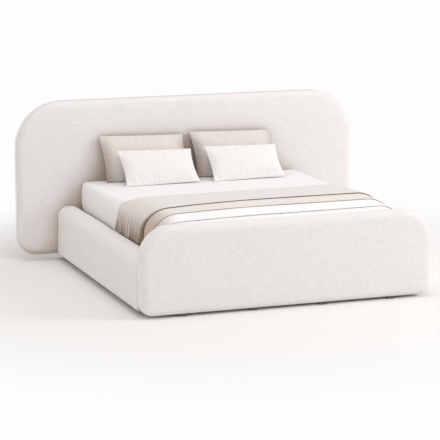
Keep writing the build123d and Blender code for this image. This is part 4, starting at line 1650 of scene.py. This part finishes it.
@dataclass
class Cushion:
    """A filled cushion: two panels sewn round their edge and blown up by its fill, leaning back."""

    name: str
    slot: str
    cloth: str
    x: float
    seed: float
    width: float
    height: float
    thickness: float
    lean: float
    back: float
    columns: int = 72
    rows: int = 40
    frames: int = 16
    pressure: float = 5.0
    sink: float = 0.006
    seam: float = 0.003
    side_draw: float = 0.015
    top_draw: float = 0.002
    slack: float = 0.024
    slump: float = 0.08
    taper: float = 0.09
    rest: float = MATTRESS_TOP + 0.0004

    def panels(self) -> bmesh.types.BMesh:
        """Draw the two panels, sewn together and lying in the XZ plane, with the sides drawn in.

        Returns:
            The closed shape, with painted shade at its ends, stronger towards the bottom.
        """
        bm = bmesh.new()
        flat = Matrix.Diagonal((self.width, self.height, 1.0, 1.0))
        place = Matrix.Rotation(math.pi / 2, 4, "X") @ flat
        bmesh.ops.create_grid(bm, x_segments=self.columns, y_segments=self.rows, size=0.5, matrix=place)
        painted_shade = bm.verts.layers.float.new(PAINTED_SHADE_LAYER)
        bmesh.ops.translate(bm, vec=(0, 2 * self.seam, 0), verts=doubled(bm, bm.faces))
        bmesh.ops.translate(bm, vec=(0, -self.seam, 0), verts=bm.verts)
        bmesh.ops.recalc_face_normals(bm, faces=bm.faces)
        for vertex in bm.verts:
            side = math.copysign(1.0, vertex.co.y)
            across = max(math.cos(math.pi * vertex.co.x / self.width), 0.0)
            upright = max(math.cos(math.pi * vertex.co.z / self.height), 0.0)
            belly = (across * upright) ** 0.5
            # Painted shade at both ends of the cushion, stronger towards the bottom
            end = smooth_step(0.5 * self.width - 0.1, 0.5 * self.width, abs(vertex.co.x))
            vertex[painted_shade] = end * (0.5 - 0.66 * vertex.co.z / self.height)
            vertex.co.y += side * 0.4 * self.thickness * belly
            vertex.co.y += 0.004 * undulation(vertex.co, 0.07, self.seed) * belly
            vertex.co.x *= 1 - 2 * self.side_draw * upright / self.width
            vertex.co.z *= 1 - 2 * self.top_draw * across / self.height
        return bm

    def inflate(self, piece: bpy.types.Object) -> None:
        """Let cloth and the fill's pressure settle the panels, slack inside their seam.

        Args:
            piece: The sewn panels, which get the settled shape.
        """
        scene = bpy.context.scene
        seam = piece.vertex_groups.new(name="seam")
        sewn = [vertex.index for vertex in piece.data.vertices if abs(vertex.co.y) < self.seam + 0.0001]
        seam.add(sewn, 1.0, "REPLACE")
        cloth = piece.modifiers.new("fill", "CLOTH")
        plan = {
            "quality": 6,
            "mass": 0.3,
            "tension_stiffness": 22,
            "compression_stiffness": 12,
            "shear_stiffness": 8,
            "bending_stiffness": 0.5,
            "tension_damping": 12,
            "vertex_group_mass": seam.name,
            "shrink_min": -self.slack,
            "shrink_max": -self.slack,
            "use_pressure": True,
            "uniform_pressure_force": self.pressure,
        }
        for name, value in plan.items():
            setattr(cloth.settings, name, value)
        cloth.settings.effector_weights.gravity = 0.0
        cloth.point_cache.frame_start = 1
        cloth.point_cache.frame_end = self.frames
        for number in range(1, self.frames + 1):
            scene.frame_set(number)
        baked(piece)
        scene.frame_set(1)

    def fit(self, piece: bpy.types.Object) -> None:
        """Bring the settled cushion to its size, lean it back and sit it on the sheet.

        Args:
            piece: The cushion.
        """
        vertices = piece.data.vertices
        low = Vector([min(vertex.co[axis] for vertex in vertices) for axis in range(3)])
        high = Vector([max(vertex.co[axis] for vertex in vertices) for axis in range(3)])
        size = (self.width, self.thickness, self.height)
        middle = (low + high) / 2
        scale = Vector([size[axis] / (high[axis] - low[axis]) for axis in range(3)])
        turn = Matrix.Rotation(-math.radians(self.lean), 3, "X")
        for vertex in vertices:
            place = Vector([(vertex.co - middle)[axis] * scale[axis] for axis in range(3)])
            place.z *= 1 - self.taper * (0.5 + place.x / self.width)
            vertex.co = turn @ place
            vertex.co.x -= self.slump * (vertex.co.z + self.height / 2)
        reach = max(vertex.co.y for vertex in vertices)
        foot = min(vertex.co.z for vertex in vertices)
        for vertex in vertices:
            vertex.co += Vector((self.x, self.back - reach, self.rest - self.sink - foot))
            vertex.co.z = max(vertex.co.z, self.rest)
            vertex.co.y = min(vertex.co.y, self.back)
        piece.data.update()

    def build(self, materials: Materials) -> bpy.types.Object:
        """Make the cushion and set it on its body.

        Args:
            materials: The bed's finishes.

        Returns:
            The cushion.
        """
        piece = new_piece(f"filled_{self.name}", self.panels(), materials[self.cloth])
        self.inflate(piece)
        self.fit(piece)
        finer = piece.modifiers.new("finer", "SUBSURF")
        finer.levels = 1
        finer.render_levels = 1
        baked(piece)
        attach(piece, self.name)
        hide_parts(self.name)
        return piece


def seen_rays(tree: bpy.types.NodeTree) -> Socket:
    """Tell the rays that show a thing, straight or in a mirror, from those that only light it."""
    path = add_node(tree, "ShaderNodeLightPath")
    return maths(tree, "MAXIMUM", path.outputs["Is Camera Ray"], path.outputs["Is Glossy Ray"])


class Studio:
    """A pale floor, a white surround, soft lamps and the camera."""

    camera_place: tuple[float, float, float] = (-5.0468, -13.5480, 3.1937)
    camera_pitch: float = 0.189
    camera_yaw: float = 0.349
    lens_mm: float = 160.7
    sensor_mm: float = 36.0
    fade: tuple[float, float] = (1.8, 3.6)
    floor_half_side: float = 40.0
    backdrop: str = "FDFDFD"
    target: tuple[float, float, float] = (0.0, 0.0, 0.4)

    def floor(self) -> None:
        """Lay a floor that fades into the white surround."""
        bm = bmesh.new()
        bmesh.ops.create_grid(bm, x_segments=1, y_segments=1, size=self.floor_half_side)
        graph = Graph("studio_floor")
        tree = graph.tree
        graph.shader.inputs["Base Color"].default_value = linear("F2EFED")
        graph.shader.inputs["Roughness"].default_value = 0.9
        away = add_node(tree, "ShaderNodeVectorMath", {"operation": "LENGTH"}, {0: graph.place()})
        far = ranged(tree, away.outputs["Value"], self.fade, interpolation_type="SMOOTHSTEP")
        white = add_node(tree, "ShaderNodeEmission", {"Color": linear(self.backdrop), "Strength": 1.0})
        links = {
            0: maths(tree, "MULTIPLY", seen_rays(tree), far),
            1: graph.shader.outputs["BSDF"],
            2: white.outputs["Emission"],
        }
        mixed = add_node(tree, "ShaderNodeMixShader", None, links)
        tree.links.new(mixed.outputs["Shader"], tree.nodes["Material Output"].inputs["Surface"])
        new_piece("studio_floor", bm, graph.material)

    def world(self) -> None:
        """Surround the bed with even light, and show white to the camera."""
        world = bpy.data.worlds.new("studio_world")
        bpy.context.scene.world = world
        world.use_nodes = True
        tree = world.node_tree
        tree.nodes.clear()
        soft = add_node(tree, "ShaderNodeBackground", {"Color": linear("FFFDFC"), "Strength": 0.79})
        shown = {"Color": linear(self.backdrop), "Strength": 1.0}
        white = add_node(tree, "ShaderNodeBackground", shown)
        links = {0: seen_rays(tree), 1: soft.outputs["Background"], 2: white.outputs["Background"]}
        mixed = add_node(tree, "ShaderNodeMixShader", None, links)
        add_node(tree, "ShaderNodeOutputWorld", None, {"Surface": mixed.outputs["Shader"]})

    def lamp(self, name: str, place: Vector, size: float, power: float) -> None:
        """Hang a square soft lamp that points at the bed.

        Args:
            name: The lamp's name.
            place: Where it hangs.
            size: Its side.
            power: Its power in watts.
        """
        light = bpy.data.lights.new(name, "AREA")
        light.size = size
        light.energy = power
        light.color = linear("F8FBFF")[:3]
        holder = bpy.data.objects.new(name, light)
        holder.location = place
        holder.rotation_euler = (Vector(self.target) - place).to_track_quat("-Z", "Y").to_euler()
        bpy.context.scene.collection.objects.link(holder)

    def camera(self) -> None:
        """Stand the camera where the photograph's stood."""
        data = bpy.data.cameras.new("camera")
        data.sensor_width = self.sensor_mm
        data.lens = self.lens_mm
        data.clip_end = 200.0
        holder = bpy.data.objects.new("camera", data)
        holder.location = self.camera_place
        holder.rotation_euler = (math.pi / 2 - self.camera_pitch, 0.0, -self.camera_yaw)
        bpy.context.scene.collection.objects.link(holder)
        bpy.context.scene.camera = holder

    def build(self) -> None:
        """Set up the floor, the light and the camera."""
        bpy.context.scene.view_settings.view_transform = "Standard"
        self.floor()
        self.world()
        self.lamp("key", Vector((6.8, -4.4, 4.6)), 3.0, 252.0)
        self.lamp("overhead", Vector((-1.2, -1.2, 7.0)), 3.6, 74.0)
        self.camera()


class Bed:
    """The whole bed, built in order from the frame outwards."""

    ends: tuple[PaddedEnd, ...] = (
        PaddedEnd(
            name="padded_headboard",
            cloth="headboard",
            width=2.8,
            bottom=0.045,
            top=1.24,
            front=1.025,
            back=1.135,
            top_radius=0.36,
            bottom_radius=0.15,
            roll=0.045,
            back_roll=0.045,
            crown=0.006,
            seed=1.0,
            nodes=("headboard_cover", "headboard_foam"),
            seam_lines=(1.072, 1.112),
            lining_inset=0.047,
        ),
        PaddedEnd(
            name="padded_footboard",
            cloth="upholstery",
            width=BED_WIDTH,
            bottom=0.015,
            top=0.64,
            front=-1.135,
            back=-1.005,
            top_radius=0.23,
            bottom_radius=0.095,
            roll=0.055,
            back_roll=FOOTBOARD_BACK_ROLL,
            crown=0.007,
            seed=2.0,
            nodes=("footboard_cover", "footboard_foam"),
        ),
    )
    layers: tuple[BedLayer, ...] = (
        BedLayer(
            name="cotton_coverlet",
            body="coverlet",
            slot="duvet_white",
            cloth="duvet",
            cord="plain_cord",
            head=-0.3,
            foot=-0.935,
            lift=0.003,
            thickness=0.0027,
            cord_radius=0.0022,
            seed=31.0,
            rests_on=("filled_duvet",),
        ),
        BedLayer(
            name="brushed_blanket",
            body="blanket",
            slot="blanket_cream",
            cloth="blanket",
            cord="fine_cord",
            head=-0.3,
            foot=-0.805,
            lift=0.0067,
            thickness=0.0034,
            cord_radius=0.003,
            seed=37.0,
            rests_on=("cotton_coverlet",),
        ),
        PleatedThrow(
            name="linen_throw",
            body="throw",
            slot="throw_greige",
            cloth="throw",
            cord="cord",
            head=0.025,
            foot=-0.615,
            lift=0.0116,
            thickness=0.0042,
            cord_radius=0.0034,
            seed=41.0,
            rests_on=("brushed_blanket", "filled_duvet"),
            hem=0.4166,
            columns=260,
            rows=150,
        ),
    )
    back_size: tuple[float, ...] = (0.69, 0.375, 0.17, 20.0, 1.017)
    front_size: tuple[float, ...] = (0.6, 0.32, 0.122, 37.0, 0.821)
    cushions: tuple[Cushion, ...] = (
        Cushion("left_back_pillow", "pillow_beige", "beige_cover", -0.392, 51.0, *back_size),
        Cushion("right_back_pillow", "pillow_beige", "beige_cover", 0.352, 53.0, *back_size),
        Cushion("left_front_pillow", "pillow_white", "white_cover", -0.345, 57.0, *front_size),
        Cushion("right_front_pillow", "pillow_white", "white_cover", 0.366, 59.0, *front_size),
    )

    def pieces(self, materials: Materials) -> Iterator[bpy.types.Object]:
        """Build every soft piece.

        Args:
            materials: The bed's finishes.

        Yields:
            Each piece once it is set on its body.
        """
        shape = BedShape()
        below = (*self.ends, SideRail(-1), SideRail(1), SprungBase(-1), SprungBase(1), Mattress())
        for part in below:
            yield part.build(materials)
        for layer in (Duvet(), *self.layers):
            yield layer.build(shape, materials)
        for cushion in self.cushions:
            yield cushion.build(materials)

    def build(self, materials: Materials) -> None:
        """Build the bed and report each piece."""
        for piece in self.pieces(materials):
            log.info("%s: %d faces", piece.name, len(piece.data.polygons))


def main() -> None:
    """Load the frame, dress it, build the soft goods and set up the studio."""
    logging.basicConfig(level=logging.INFO, format="%(name)s: %(message)s")
    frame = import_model()
    materials = make_materials()
    dress_carcass(frame["nodes"], materials)
    Bed().build(materials)
    Studio().build()


if __name__ == "__main__":
    main()
